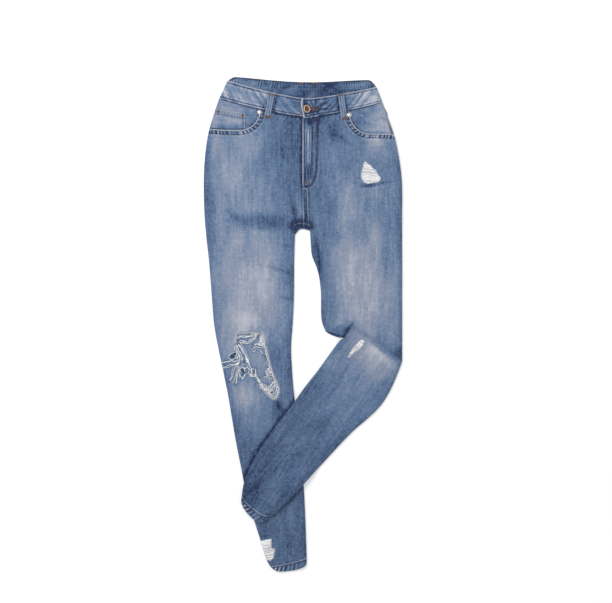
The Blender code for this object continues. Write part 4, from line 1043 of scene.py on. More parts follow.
def visible_height(p):
    """Top of the fronts and of the band laid over them."""
    height = np.where(p[:, 0] > FLY_EDGE_X, front_top(p, "left"), front_top(p, "right"))
    band = BAND_TOP + band_lift(p[:, 0], True, True) * (p[:, 0] > BAND_END_X)
    return height + np.maximum(band - height, 0) * ramp(p[:, 1] - front_seam_y(p[:, 0]), -4.5, 3.5)


LOOP_SECTION = [
    (-1, 0.3), (-0.97, 0.75), (-0.86, 1), (-0.7, 0.82), (-0.52, 1), (-0.25, 1.12), (0, 0.95), (0.25, 1.12),
    (0.52, 1), (0.7, 0.82), (0.86, 1), (0.97, 0.75), (1, 0.3), (0.9, 0), (0, 0), (-0.9, 0),
]


def loop_spine(node):
    """Middle line of a belt loop along its lower face, share of its length and way across it."""
    top, foot, on_front = LOOPS[node]
    top, way = np.array(top, float), np.subtract(foot, top)
    length = np.linalg.norm(way)
    share = np.linspace(0, 1, int(length / 1.6) + 1)
    plan = top + way * share[:, None]
    arch = 0.35 + 1 * np.sin(np.pi * np.clip(share / 0.72, 0, 1)) ** 0.8
    height = visible_height(plan) + arch if on_front else np.full(len(plan), LOOP_THICK)
    return columns(plan, height), share * length, np.array([way[1], -way[0], 0]) / length * LOOP_WIDTH / 2


def make_loop(node):
    spine, place, across = loop_spine(node)
    on_front = LOOPS[node][2]
    rows, fade, weave = [], [], []
    round_end = 1 - 0.5 * bell(place, 1) - 0.5 * bell(place - place[-1], 1)
    for share, rise in LOOP_SECTION:
        ripple = 0.1 * np.sin(place / 1.9 + 3 * share) if rise > 0.5 else 0
        height = (rise * round_end + ripple) * LOOP_THICK * (1 if on_front else -1)
        rows.append(spine + share * across + np.outer(height, [0, 0, 1]))
        worn = 0.72 - 0.6 * bell(abs(share) - 0.42, 0.16)
        fade.append(worn + 0.16 * drift(columns(place + share * 50, place), 7, 81))
        weave.append(columns(share * LOOP_WIDTH / 2 + 0 * place, place))
    cut = (LOOP_WIDTH * place[-1] * MM * MM, (LOOP_WIDTH * MM, place[-1] * MM), ["waistband_cloth"])
    strip(node + "_cloth", node, rows, fade, weave, on_front, cut)


# Yokes, facings and pockets -------------------------------------------------------------------


def shell_piece(half, kind, edges, holes, zones, step, thick, values, flat, rests_on):
    """A front, a back or a yoke: its outer face lies at its height and the cloth's thickness goes inwards."""
    plan, faces = fill(outline_of(edges), holes, rolled_edges(half), zones, step)
    front = kind == "front"
    height = front_top(plan, half) if front else back_under(plan, half)
    outer, inner = shell_points(plan, faces, height, thick if front else -thick)
    name, node = half + "_" + kind, kind + "_" + half
    cloth_piece(name, node, plan, faces, outer, inner, values(plan), flat, rests_on, front)


def make_yoke(side):
    top = to_outseam(waist_line(CENTRE_BACK_X, BAND_FOLDS[side][1][0], back_seam_y), side)
    seam = to_outseam(yoke_line(side), side)
    edges = [top, stretch(side, top[-1][1], seam[-1][1]), seam[::-1], dense([seam[0], top[0]])]
    edges, fade = one_way(edges, side), plain_fade(0.5, 55)
    shell_piece(side, "yoke", edges, [], [], 3.5, 1.1, fade, (0.198, 0.075), ["floor"])


def facing_fade_and_shade(side):
    def values(p):
        spot = p @ np.array([[1, 0.15], [-0.15, 1]])
        fade = 0.66 + 0.1 * drift(spot, (26, 7), 91) + 0.08 * drift(spot, (11, 5), 92)
        # Darker along the pocket mouth: painted shadow of the front's edge on the facing.
        fade -= 0.3 * bell(off(p, scoop_line(side)), 4.5)
        d, place, _ = follow(p, front_waist())
        fade -= 0.25 * bell(d, 2.6) * (1 + pucker(place, d, 6))
        x, y, strength, reach = (118, 430, 0.22, 22) if side == "left" else (-104, 424, 0.25, 17)
        fade += 0.14 * ramp(p[:, 0], 138, 34) - strength * bell(np.hypot(*(p - (x, y)).T), reach)
        return {"fade": np.clip(fade, 0, 1)}

    return values


def lining_piece(name, node, edges, level, fade, side, flat, rests_on):
    """A piece that lies inside the tube's front, at a depth under its face."""
    plan, faces = fill(outline_of(edges), [], rolled_edges(side), [], 2.2)
    shown = ramp(plan[:, 1], SCOOPS[side]["side"][1] + 3, 8)
    level = level * (1 - 0.85 * (1 - smooth(nearest(plan, rolled_edges(side))[0] / 5)) * shown)
    outer, inner = (front_points(plan, side, depth) for depth in (level, level + 0.9))
    cloth_piece(name, node, plan, faces, outer, inner, fade(plan), flat, rests_on)


def make_facing(side):
    inward = 1 if side == "right" else -1
    foot_y = SCOOPS[side]["bottom_y"] - FACING_OVERLAP
    seam_x = SCOOPS[side]["seam_x"] + inward * FACING_OVERLAP
    bend = (SCOOPS[side]["seam_x"] + inward * 2, foot_y)
    corner = (seam_x, float(front_seam_y(seam_x)) - SEAM_GAP)
    foot = [on_outseam(side, foot_y), bend, (seam_x, foot_y + 20), corner]
    top = to_outseam(waist_line(seam_x, BAND_FOLDS[side][1][0], front_seam_y), side)
    edges = one_way([top, stretch(side, top[-1][1], foot_y), dense(foot)], side)
    name, node = side + "_hip_facing", "hip_facing_" + side
    lining_piece(name, node, edges, 2.1, facing_fade_and_shade(side), side, (0.132, 0.08), [side + "_back"])


def coin_edges():
    """Top, outer side, foot and inner side of what shows of the coin pocket."""
    head_out_y, head_y, in_x = COIN_POCKET
    mouth = scoop_line("right")
    low_y = mouth[-1][1] + 1.2
    head, foot = (on_outseam("right", y) + (4, 0) for y in (head_out_y, low_y))
    in_y = float(np.interp(-in_x, -mouth[:, 0], mouth[:, 1])) + 1.2
    corners = [[(in_x, head_y), head], [head, foot], [foot, (-150, low_y), (in_x, in_y)]]
    return [dense(line, 2) for line in [*corners, [(in_x, in_y), (in_x, head_y)]]]


def make_coin_pocket():
    edges = coin_edges()

    def fade(p):
        values = facing_fade_and_shade("right")(p)
        d, place, _ = follow(p, edges[0])
        worn = values["fade"] + 0.08 + (1 - ramp(d, 8.5, 1.2)) * (-0.12 + 0.2 * blocks(place, 6, 94))
        worn += 0.4 * bell(d, 1.1) + 0.2 * bell(d - 7.6, 1) - 0.34 * bell(d - 9.8, 1.2)
        d = off(p, edges[3])
        worn += 0.35 * bell(d, 1.2) - 0.3 * bell(d - 4.5, 1.1)
        for x, reach in ((-171, 9), (-144, 13)):
            worn -= 0.26 * bell(np.hypot(p[:, 0] - x, 1.6 * (p[:, 1] - 413)), reach)
        return {**values, "fade": np.clip(worn, 0, 1)}

    flat, rests_on = (0.075, 0.052), ["right_hip_facing"]
    lining_piece("coin_pocket_cloth", "coin_pocket", edges, 0.5, fade, "right", flat, rests_on)


def back_pocket_edges(side):
    size, middle = BACK_POCKET, BACK_POCKET_X[side]
    side_y = size["top_y"] - size["side"]
    half, foot = size["width"] / 2, size["foot_width"] / 2
    corners = [(middle + half, size["top_y"]), (middle - half, size["top_y"]), (middle - foot, side_y)]
    corners += [(middle, side_y - size["point"]), (middle + foot, side_y)]
    return [dense(ends, 2) for ends in zip(corners, corners[1:] + corners[:1])]


def make_back_pocket(side):
    edges = back_pocket_edges(side)
    plan, faces = fill(outline_of(edges), [], [], [(edges[0], 14)], 2.6)
    d, place, _ = follow(plan, closed_of(outline_of(edges)))
    top, top_place, _ = follow(plan, edges[0])
    under = 0.85 - 0.85 * smooth(d / 3) ** 0.5 + 0.25 * bell(d - 7.6, 1) + 0.25 * bell(d - 1.9, 0.7)
    under += 0.18 * (1 + drift(plan, 18, 95)) * smooth(d / 8)
    under += 0.15 * (1 + pucker(top_place, top, 6)) * (1 - ramp(top, 11, 2))
    fade = 0.5 + 0.08 * drift(plan, (20, 30), 96) + 0.3 * bell(d, 1.2) - 0.25 * bell(d - 4.8, 2)
    fade += 0.12 * pucker(place, d, 6) * (d < 8)
    values = {"fade": np.clip(fade, 0, 1)}
    outer, inner = columns(plan, under), columns(plan, np.full(len(plan), 1.35))
    name, node = side + "_back_pocket", "back_pocket_" + side
    cloth_piece(name, node, plan, faces, outer, inner, values, (0.118, 0.134), ["floor"], False)


def make_knee_pleat():
    """Hidden layers of the folded knee: one rounded form whose rim shows their edges."""
    notch, along = np.array(KNEE_NOTCH), np.subtract(KNEE_CORNER, KNEE_NOTCH)
    past = np.array([along[1], -along[0]]) / np.linalg.norm(along)
    rim = curve([notch + share * along + d * past for share, d in KNEE_PLEAT_RIM + KNEE_PLEAT_RIM[:1]])[:-1]
    middle = rim.mean(axis=0)
    room = np.maximum(0.82 * knee_rise(rim) - SEAM_GAP, 0.8)
    peak = 0.82 * float(knee_rise(middle[None])[0]) - SEAM_GAP
    layers = [(ring, np.maximum(share * room, 0)) for share, ring in KNEE_PLEAT_LAYERS]
    layers += [(0.5, np.full(len(rim), 0.96 * peak)), (0.03, np.full(len(rim), peak))]
    points = np.vstack([columns(middle + (rim - middle) * ring, height) for ring, height in layers])
    x, y = rim.T
    way_round = 1 if np.sum(x * np.roll(y, -1) - np.roll(x, -1) * y) > 0 else -1
    faces = [face[::way_round] for face in tube_faces(len(layers), len(rim))]
    cut = (PLEAT_AREA, (0.105, 0.05), ["floor"], "folded")
    values = plain_fade(0.3, 57)(points[:, :2])
    new_cloth("left_knee_pleat", "knee_fold_left", points, faces, values, points[:, :2], *cut)


# Thread and yarn ------------------------------------------------------------------------------

STITCH_RINGS = [(-0.44, 0.6), (-0.2, 1), (0.2, 1), (0.44, 0.6)]
STITCH_SIDES = 6


def stitch_form():
    """One stitch along X, of unit length and unit radius, flat side down."""
    turns = 2 * np.pi * np.arange(STITCH_SIDES) / STITCH_SIDES
    points = [(-0.5, 0, 0)]
    for x, radius in STITCH_RINGS:
        points += [(x, radius * math.cos(turn), radius * math.sin(turn)) for turn in turns]
    points.append((0.5, 0, 0))
    last = 1 + (len(STITCH_RINGS) - 1) * STITCH_SIDES
    faces = []
    for k in range(STITCH_SIDES):
        after = (k + 1) % STITCH_SIDES
        faces += [(0, 1 + after, 1 + k), (last + k, last + after, len(points) - 1)]
        for a in range(1, last, STITCH_SIDES):
            faces.append((a + k, a + after, a + STITCH_SIDES + after, a + STITCH_SIDES + k))
    return np.array(points), faces


def sew(name, stitches, finish):
    """One mesh of many stitches, each given as its two ends and its radius."""
    form, form_faces = stitch_form()
    starts, ends, radii = (np.array(part) for part in zip(*stitches))
    way = ends - starts
    length = np.linalg.norm(way, axis=1)[:, None]
    across = np.cross([0, 0, 1], way / length)
    across /= np.maximum(np.linalg.norm(across, axis=1), 1e-6)[:, None]
    axes = way, across * radii[:, None], np.cross(way / length, across) * radii[:, None]
    middles = ((starts + ends) / 2)[:, None]
    points = middles + sum(form[None, :, k, None] * axes[k][:, None] for k in range(3))
    faces = [tuple(i + n * len(form) for i in face) for n in range(len(way)) for face in form_faces]
    return new_fitting(name, points.reshape(-1, 3), faces, finish)


def along_path(path, pitch, length, radius, lift=0):
    """Stitches along a path of points, at an equal pitch."""
    runs = run_of(path)
    starts = np.arange(0.3, runs[-1] - length, pitch)

    def at(s):
        return columns(*(np.interp(s, runs, path[:, k]) for k in range(3))) + (0, 0, lift)

    return [(a, b, radius) for a, b in zip(at(starts), at(starts + length))]


def on_front(half, line):
    line = dense(line, 1.5)
    return columns(line, front_top(line, half))


def on_back(half, line):
    line = dense(line, 1.5)
    return columns(line, back_under(line, half))


def on_band(start_x, end_x, height, front, level=0):
    """A path along the band at a share of its width."""
    share = np.linspace(band_share(start_x), band_share(end_x), int(abs(end_x - start_x) / 1.5) + 2)
    heights, fronts, inner = (np.full(len(share), value) for value in (height, front, level > 0))
    foot_x = band_foot_x(share)
    lap = band_lift(foot_x, fronts & (foot_x > BAND_END_X - 0.1), fronts)
    return band_face(share, fronts, heights, level, lap, inner)[0]


def bartack(middle, direction, width, height_at, radius=0.42, depth=2.2):
    """Close parallel stitches across a bar that runs in the direction."""
    way = np.array(direction, float) / np.linalg.norm(direction)
    side = np.array([-way[1], way[0]]) * depth / 2
    stitches = []
    for place in np.linspace(-width / 2, width / 2, int(width / BARTACK_PITCH)):
        spot = middle + way * place
        ends = np.array([spot - side, spot + side + 0.2 * way])
        stitches.append((*columns(ends, height_at(ends) + 0.25), radius))
    return stitches


def tubes(name, paths, finish, sides=6):
    """Yarns: one mesh of round tubes along paths, each given as its points and radius."""
    points, faces, start = [], [], 0
    turns = 2 * np.pi * np.arange(sides) / sides
    for path, radius in paths:
        way = np.gradient(path, axis=0)
        way /= np.maximum(np.linalg.norm(way, axis=1), 1e-9)[:, None]
        across = np.cross(way, [0, 0, 1])
        size = np.linalg.norm(across, axis=1)[:, None]
        across = np.where(size > 0.05, across / np.maximum(size, 1e-6), [1, 0, 0])
        radii = np.full((len(path), 1, 1), radius)
        radii[0] = radii[-1] = 0.35 * radius
        over = np.cross(across, way)
        ring = np.cos(turns)[:, None] * across[:, None] + np.sin(turns)[:, None] * over[:, None]
        points.append((path[:, None] + ring * radii).reshape(-1, 3))
        faces += [face[::-1] for face in tube_faces(len(path), sides, start)]
        start += len(path) * sides
    return new_fitting(name, np.vstack(points), faces, finish)


def yarn_path(points, rng, half="right", lift=0.6, wander=0.5):
    """A loose yarn through plan points, lying over the cloth and dipping across the hole."""
    line = curve(points, 2)
    steps = np.arange(len(line))
    sway = np.sin(steps / rng.uniform(1.3, 2.4) + rng.uniform(0, 6))
    line = beside(line, 0) + (wander * sway * rng.uniform(0.4, 1))[:, None] * rng.uniform(-1, 1, 2)
    height = over_rip(line, half, 0.16, 2) + lift
    return columns(line, height + 0.25 * np.sin(steps / 2.1 + rng.uniform(0, 6)))


def over_rip(plan, half, dip, most):
    """Height of the front for what lies on it, dipping into the rip as far as the back's cloth."""
    deep = depth_inside(plan, rip_line())
    dipped = front_top(plan, half) - np.clip(dip * deep, 0, most)
    return np.maximum(dipped, (back_under(plan, half) + sizes_mm().cloth) * (deep > 1))


@lru_cache(maxsize=None)
def rip_line():
    return curve(KNEE_RIP + KNEE_RIP[:1], 2.5)[:-1]


# Wash, wear and painted shade -------------------------------------------------------------------

# Soft areas of fading, painted shade and painted highlight on each front: x, y, half width, half height, turn in
# degrees, change of fade. Dark rows by folds, creases, the knee's crevice and the crossing shin are painted
# shade; the light band on the knee fold is a painted highlight.
FADE_AND_SHADE = {
    "right": [
        (-150, 350, 46, 76, 0, 0.24), (-120, 270, 70, 80, 0, 0.14), (-98, 105, 52, 135, 0, 0.38),
        (-172, 80, 28, 165, 0, 0.24), (-138, -30, 26, 75, 0, 0.3), (-70, 20, 50, 70, 0, 0.12),
        (-138, 180, 18, 22, 0, 0.14), (-196, 225, 13, 60, 0, -0.14), (-118, -142, 30, 38, 0, 0.2),
        (-100, -190, 34, 60, 0, 0.14), (-92, -285, 32, 90, 0, -0.12), (-34, -465, 44, 52, 0, -0.1),
        (-90, 216, 46, 17, -3, -0.42), (-142, 226, 20, 7, -38, -0.18), (-184, 385, 16, 24, 0, 0.2),
        (-108, 374, 24, 32, 0, 0.2), (-138, 95, 20, 55, 0, 0.14), (-112, 6, 24, 22, 0, 0.18),
        (-78, -437, 18, 18, 0, -0.16), (-124, -150, 20, 30, 0, 0.1), (-16, 388, 32, 100, 0, -0.2),
        (-13, 207, 15, 15, 0, -0.34), (-19, 236, 5, 18, 8, -0.3), (-7, 243, 6, 34, 12, 0.2),
        (-43, 360, 4, 18, 0, -0.22), (-46, 112, 28, 4, -18, -0.18), (-33, 54, 15, 4, -10, -0.18),
        (-34, 164, 11, 4, -10, -0.16), (-51, -170, 5, 17, 27, -0.32), (-54, -186, 9, 26, 0, -0.15),
        (-74, -246, 9, 95, -33, -0.24), (-20, -362, 8, 34, -44, -0.18), (-84, -313, 7, 16, 0, -0.12),
    ],
    "left": [
        (120, 300, 75, 110, 0, 0.1), (118, 70, 52, 130, 0, 0.4), (162, 385, 28, 50, 0, 0.2),
        (158, 60, 24, 130, 0, 0.14), (78, 105, 24, 125, 0, 0.12), (190, 60, 18, 165, 0, 0.2),
        (92, 240, 30, 60, 0, 0.18), (154, -74, 46, 50, -36, 0.32), (110, -160, 45, 70, -36, 0.12),
        (48, -76, 32, 40, -36, 0.2), (180, -42, 34, 14, -36, -0.2), (196, -64, 14, 16, -36, -0.26),
        (-20, -300, 120, 130, -36, -0.1), (167, -68, 44, 10, -37, 0.12), (166, -46, 42, 8, -37, -0.2),
        (-96, -315, 30, 66, -20, -0.16), (152, 275, 14, 30, 0, 0.14), (152, 195, 16, 34, 0, 0.16),
        (198, 385, 12, 34, 0, 0.2), (150, 380, 14, 26, 0, 0.16), (62, 240, 16, 24, 0, -0.2),
        (62, 402, 13, 26, 0, -0.22), (45, 385, 11, 40, 0, 0.14), (-112, -362, 34, 34, 0, -0.14),
        (92, -15, 4, 18, -33, -0.4), (66, -22, 20, 3, -12, -0.5), (5, 214, 8, 18, 0, -0.44),
        (38, 388, 12, 32, 0, -0.16), (18, 430, 26, 10, 0, -0.4), (8, 330, 16, 40, 0, -0.12),
        (18, 380, 20, 70, 0, -0.1), (86, 386, 18, 5, -35, -0.2), (33, 141, 5, 40, 8, -0.26),
        (174, 138, 9, 46, 0, -0.18), (135, 290, 15, 4, 2, -0.34), (160, 294, 34, 3, 11, -0.24),
        (82, -12, 24, 8, 9, -0.26), (42, -97, 10, 8, 0, -0.1), (25, -130, 9, 8, 0, -0.12),
        (172, -125, 12, 8, 0, -0.12), (-8, -271, 9, 9, 0, -0.12), (44, -279, 8, 8, 0, -0.1),
    ],
}
BODY_FADE = 0.42
# Depth inside the bare patches of cloth that lies far from them.
UNWORN = -40


# Sum of soft marks of fading, painted shade and painted highlight.
def soft_fade_and_shade(p, rows):
    total = np.zeros(len(p))
    for x, y, half_width, half_height, turn, change in rows:
        c, s = math.cos(math.radians(turn)), math.sin(math.radians(turn))
        across, up = p[:, 0] - x, p[:, 1] - y
        u, v = (across * c + up * s) / half_width, (up * c - across * s) / half_height
        total += change * np.exp(-((u * u + v * v) ** 1.3))
    return total


def front_fade_and_shade(half):
    """Function that gives a front's fade, with its painted shade and highlights, and how far each point lies
    inside the bare patches.
    """

    def values(p):
        x, y = p.T
        fade = BODY_FADE + soft_fade_and_shade(p, FADE_AND_SHADE[half])
        grain = weave_map(p, "front_" + half)
        fade += 0.07 * drift(grain, (30, 50), 21) + 0.05 * drift(grain, (11, 36), 22)
        fade += 0.05 * drift(grain, (5, 30), 23) + 0.03 * drift(grain, (16, 5), 25)
        # Darker along the rolled edges: partly unfaded dye at the seams, partly painted shade where the cloth
        # turns down.
        fade -= 0.1 * (1 - smooth(nearest(p, rolled_edges(half))[0] / 16))
        d, place, _ = follow(p, scoop_line(half))
        band = ramp(d, 1.8, 1.2) * (1 - ramp(d, 9.5, 1.5))
        fade += 0.78 * (1 - ramp(d, 2.2, 0.7)) + 0.16 * bell(d - 12, 1.6)
        fade += band * (-0.14 + 0.46 * blocks(place + 0.3 * d, 7.4, 26))
        fade -= 0.5 * bell(d - 2.7, 0.9) + 0.4 * bell(d - 9.2, 1)
        below, place = in_hem(p, half)
        band = ramp(below, 0.2, 1)
        teeth = blocks(place + 0.5 * below, 8.4, 24) * (0.7 + 0.5 * drift(p, 9, 27))
        fade += 0.6 * band * teeth - 0.5 * np.clip(-teeth, 0, 1) * bell(below - 1.2, 2.4)
        fade += 0.5 * bell(below + 2.2, 1.2) - 0.12 * bell(below + 5, 1.6) - 0.3 * bell(below - 0.6, 1.1)
        fade += 0.3 * (1 - smooth(off(p, seam_lines()[half + "_hem"]) / 1.6)) * band
        fade += seam_fade_and_shade(p, half)
        bare = np.full(len(p), UNWORN)
        for name, (front, *_) in WEFT_ROWS.items():
            if front == half:
                bare = np.maximum(bare, depth_inside(p, np.array(BARE_PATCHES[name])))
        if half == "right":
            # Painted shadow of the crossing left shin along its edge on the right leg.
            fade -= 0.34 * bell(off(p, seam_lines()["left_shin_in"]) - 1, 4.5) * ramp(-y, 80, 60)
            rim = -depth_inside(p, curve(KNEE_RIP + KNEE_RIP[:1])[:-1])
            worn_side = ramp(x, -96, 12) * (y < -16)
            bare = np.maximum(bare, -0.2 + 1.9 * worn_side - rim * (1 - 0.55 * worn_side))
            # Lighter by the rip's rim, less the painted shadow between and under the loose yarns.
            fade += 0.12 * (1 - smooth(rim / 9)) - painted_rip_shadow(p)
            # Painted shadow along the rip's top edge.
            fade -= 0.16 * bell(rim - 2.2, 1.2) * bell(y + 15, 5)
        return {"fade": np.clip(fade, 0, 1), "bare": bare}

    return values


# Streaks down the fly: x, change of fade and half width.
FLY_STREAKS = [
    (6.2, 0.3, 1), (8.3, -0.3, 1), (11, 0.5, 1.5), (13.9, -0.24, 0.9), (16.2, 0.42, 1.2), (19.3, -0.6, 1.5),
    (22.2, 0.26, 1), (24.8, -0.2, 1.3), (30, 0.12, 1.3),
]


def seam_fade_and_shade(p, half):
    """Worn lips and darker hollows of the fly, the centre seam and the waist seam, the hollows partly unfaded
    dye and partly painted shade; on the right front, painted shadow beside the fly's edge.
    """
    x, y = p.T
    d, place, _ = follow(p, front_waist())
    fade = -0.7 * bell(d - 0.4, 1.9) + 0.24 * bell(d, 9) * pucker(place, d, 8.5)
    d = off(p, sum(felled_rows()) / 2)
    low = ramp(-y, -236, 30)
    fade += (1 - ramp(d, 3.4, 1.2)) * (-0.26 + 0.16 * bell(d, 0.9)) + (0.42 - 0.16 * low) * bell(d - 4.6, 1.1)
    fade -= (0.2 + 0.2 * low) * bell(d - 7.6, 1.9)
    d = off(p, curve(CROTCH_STITCHES))
    fade += 0.2 * bell(d, 1) - 0.5 * bell(d - 3.6, 2.2) - 0.24 * bell(d - 7, 3) * (y > CROTCH_Y)
    upright = ramp(y, FLY_BOTTOM_Y, 14)
    edge = x - FLY_EDGE_X
    if half == "right":
        # Painted shadow of the fly's edge on the right front beside it.
        return fade - 0.5 * upright * bell(edge + 1, 3.6)
    fade += upright * (0.85 * bell(edge - 0.7, 1) - 0.5 * bell(edge - 3.8, 1.4))
    middle = ramp(y, 326, 22) * (1 - ramp(y, 404, 14))
    fade += 0.14 * middle * bell(x - 11.5, 7)
    for streak_x, strength, width in FLY_STREAKS:
        uneven = 0.75 + 0.6 * drift(p + (9 * streak_x, 0), (400, 26), 28)
        fade += middle * strength * uneven * bell(x - streak_x - fly_sway(y, streak_x), width)
    for dash_y, height, dark in ((318, 12, 0.16), (424, 7, 0.1)):
        dashes = 0.42 * blocks(x + 0.1 * y, 5.2, 29) - dark
        fade += bell(y - dash_y, height) * bell(x - 11, 9) * dashes
    d = off(p, beside(curve(FLY_STITCHES), -1.6))
    return fade - 0.34 * bell(d, 2.4) + 0.14 * bell(d - 5, 1.8)


def back_fade_and_shade(half):
    """Fade of a back, lighter where it shows through the rip and darkened there by painted shadow between and
    under the yarns.
    """

    def values(p):
        found = plain_fade(0.44, 41 if half == "right" else 51)(p)
        if half == "right":
            seen = ramp(depth_inside(p, rip_line()), -8, 8)
            # Painted shadow between and under the yarns, taken off where the back shows through the rip.
            lighter = seen * (0.17 + 0.12 * drift(p, (5, 24), 43) - painted_rip_shadow(p))
            found["within"] = np.clip(found["fade"] + lighter, 0, 1)
        return found

    return values


def plain_fade(level, seed):
    def values(p):
        fade = level + 0.07 * drift(p, (30, 50), seed) + 0.04 * drift(p, 10, seed + 1)
        return {"fade": np.clip(fade, 0, 1)}

    return values


# Tears: loose yarns over the torn knee, as how many strands lie side by side and their path.
KNEE_YARNS = [
    (2, [(-136, -33), (-134.5, -26), (-125.5, -25), (-112.5, -25), (-102, -22), (-95, -19.5)]),
    (1, [(-133, -26), (-122, -28.5), (-114.5, -27), (-104, -22.5), (-96, -20.5)]),
    (3, [(-134, -35), (-130.5, -37.5), (-122, -39.5), (-114.5, -39.5), (-108, -35), (-102, -29), (-97, -21)]),
    (1, [(-131, -33), (-125, -36), (-119, -37)]),
    (2, [(-136, -43), (-129.5, -50), (-124.5, -60), (-120, -68.5), (-117, -77), (-114.5, -83.5)]),
    (2, [(-133, -41), (-126.5, -50), (-121, -59), (-117, -70), (-115.5, -81)]),
    (2, [(-138, -45), (-137, -53.5), (-133, -62), (-129.5, -68.5), (-126.5, -77)]),
    (3, [(-140, -44), (-140.5, -52.5), (-136, -61), (-134.5, -70.5), (-134.5, -81.5), (-136, -87)]),
    (1, [(-138, -59), (-148, -60.5), (-153, -66.5), (-153, -73), (-148, -76), (-140.5, -71.5), (-134, -67)]),
    (1, [(-140, -62), (-143, -67), (-138, -74)]),
    (2, [(-172, -81.5), (-157.5, -78.5), (-149, -77), (-143.5, -79), (-136, -75)]),
    (2, [(-170, -92), (-157.5, -89), (-151, -86.5), (-143.5, -84.5), (-135, -80)]),
    (2, [(-136, -82), (-144.5, -93), (-147, -101.5), (-150, -110), (-154, -119)]),
    (3, [(-134, -87), (-137, -98.5), (-139.5, -109), (-141.5, -125.5)]),
    (2, [(-107.5, -94), (-107, -101), (-107.5, -108)]), (2, [(-99.5, -93), (-99, -101), (-99.5, -110)]),
    (3, [(-113, -108), (-104, -109.5), (-97.5, -110.5)]),
    (2, [(-121, -68.5), (-114.5, -81.5), (-108, -91), (-102, -94.5)]),
    (1, [(-131, -90), (-130.5, -108), (-126, -114)]), (2, [(-121, -104), (-124, -110), (-129, -116)]),
    (1, [(-97.5, -109), (-93, -118), (-89, -126.5), (-82.5, -133), (-76, -140.5), (-68.5, -145.5), (-63, -151)]),
    (1, [(-95, -114), (-91, -117), (-88, -124), (-82, -127)]),
    (1, [(-92, -113), (-90, -121), (-85, -129), (-84, -137)]),
    (1, [(-84, -128), (-77, -129), (-74, -137), (-67, -138)]),
    (1, [(-80, -139), (-74, -134), (-70, -143), (-64, -141)]),
    (1, [(-97, -20), (-92, -18.5), (-88, -21), (-83.5, -34), (-80.5, -47), (-78, -62)]),
    (1, [(-78, -60), (-76, -73), (-73, -83.5), (-67.5, -94), (-65, -105)]),
    (1, [(-66.5, -98), (-62, -114.5), (-59, -125), (-57, -136), (-58, -148)]),
    (4, [(-102, -45.5), (-96, -43), (-89, -44.5), (-80.5, -44)]),
    (1, [(-97.5, -46), (-102, -49), (-104.5, -53.5), (-103, -58), (-99.5, -55), (-98.5, -51.5)]),
    (4, [(-88.5, -24), (-87, -33), (-84, -43)]), (3, [(-93, -41), (-89, -35), (-86.5, -29)]),
    (2, [(-90, -52), (-87, -59), (-83, -64)]), (4, [(-75, -93), (-71, -99), (-66, -104)]),
    (2, [(-78, -98), (-74, -104), (-68, -107)]), (2, [(-76, -134), (-68, -130), (-62, -121)]),
    (2, [(-72, -141), (-64, -135), (-57, -131)]),
]
YARN_SPREAD = 1.9
# Curls of yarn at the foot of the rip: middle and half sizes.
KNEE_CURLS = [
    (-127, -96.5, 4.3, 5.4), (-118, -97.5, 4.8, 5.9), (-128.5, -107, 3.8, 3.8), (-110.5, -101.5, 3.2, 6.4),
    (-121.5, -90, 3.6, 4), (-82.5, -134.5, 4, 4.5), (-87, -129.5, 3.4, 4), (-69, -138, 3.6, 4.2),
    (-65.5, -144.5, 3.8, 3.8), (-77, -107, 3.4, 3.2), (-70.6, -110.5, 3.4, 3.4), (-63, -128, 3.6, 4.6),
    (-93.5, -118, 2.8, 3.6), (-101, -110.5, 3.2, 2.4), (-82.5, -45, 3.2, 3.8),
]
# Painted shadow in the gaps between the yarns: middle and reach.
KNEE_GAP_SHADOWS = [
    (-127.3, -28.4, 3.2), (-133.3, -34.4, 3), (-142, -61.3, 4.2), (-148, -68, 4.6), (-132.6, -53.3, 2.6),
    (-128.6, -72.1, 2.6), (-125.2, -77.5, 3), (-127.2, -96.3, 2.8), (-115.8, -98.3, 3.2),
    (-125.2, -101.7, 2.2), (-110.4, -103, 2.8), (-103.5, -101, 3.4), (-78.1, -107.1, 3.2),
    (-71.5, -110, 3.2), (-92.9, -120.6, 2.8), (-82.8, -134.2, 3.2), (-69.2, -138, 4.2), (-65.6, -144.4, 4),
    (-75.1, -127, 3.4), (-80, -68, 1.6), (-94.9, -26.3, 2.4), (-87.5, -49.2, 2.6), (-136, -44, 2),
    (-66, -133, 2.2),
]
# Short ends of yarn along the rip's edge: from, to, how many, least and greatest length, and whether they
# are white weft ends that point into the hole, white ones that point out of it, or blue warp ends.
KNEE_FRINGE = [
    ((-60.5, -155), (-71, -89), 16, 3, 7, "in"), ((-71, -89), (-88.5, -19), 12, 1.5, 4, "in"),
    ((-113, -107), (-60.5, -155), 22, 3, 6, "in"), ((-139, -38), (-113, -107), 14, 1.5, 4, "in"),
    ((-60.5, -155), (-66, -104), 12, 2.5, 6, "out"), ((-113, -107), (-60.5, -155), 14, 2, 4, "out"),
    ((-88.5, -19), (-136.5, -21), 120, 2.5, 6.5, "blue"),
]
# Rows of bared weft: front, turn of the rows, pitch and how ragged their ends are.
WEFT_ROWS = {
    "hip": ("left", -4, 1.1, 2.8), "knee": ("left", -36, 1.15, 2.4), "ankle": ("right", 10, 1.6, 1.6),
}


def strands_of(rows, seed, half="right"):
    """Yarns of a table of paths, each path as a loose bundle."""
    rng = np.random.default_rng(seed)
    found = []
    for count, plan in rows:
        for strand in range(count):
            spread = YARN_SPREAD * (strand - (count - 1) / 2)
            points = beside(plan + rng.normal(0, 0.8, (len(plan), 2)), spread * rng.uniform(0.6, 1.4))
            path = yarn_path(points, rng, half, 0.5 + 0.5 * strand * rng.uniform(0.3, 1))
            found.append((path, yarn_radius() * rng.uniform(0.75, 1.1)))
    return found


def yarn_radius():
    return sizes_mm().yarn / 2


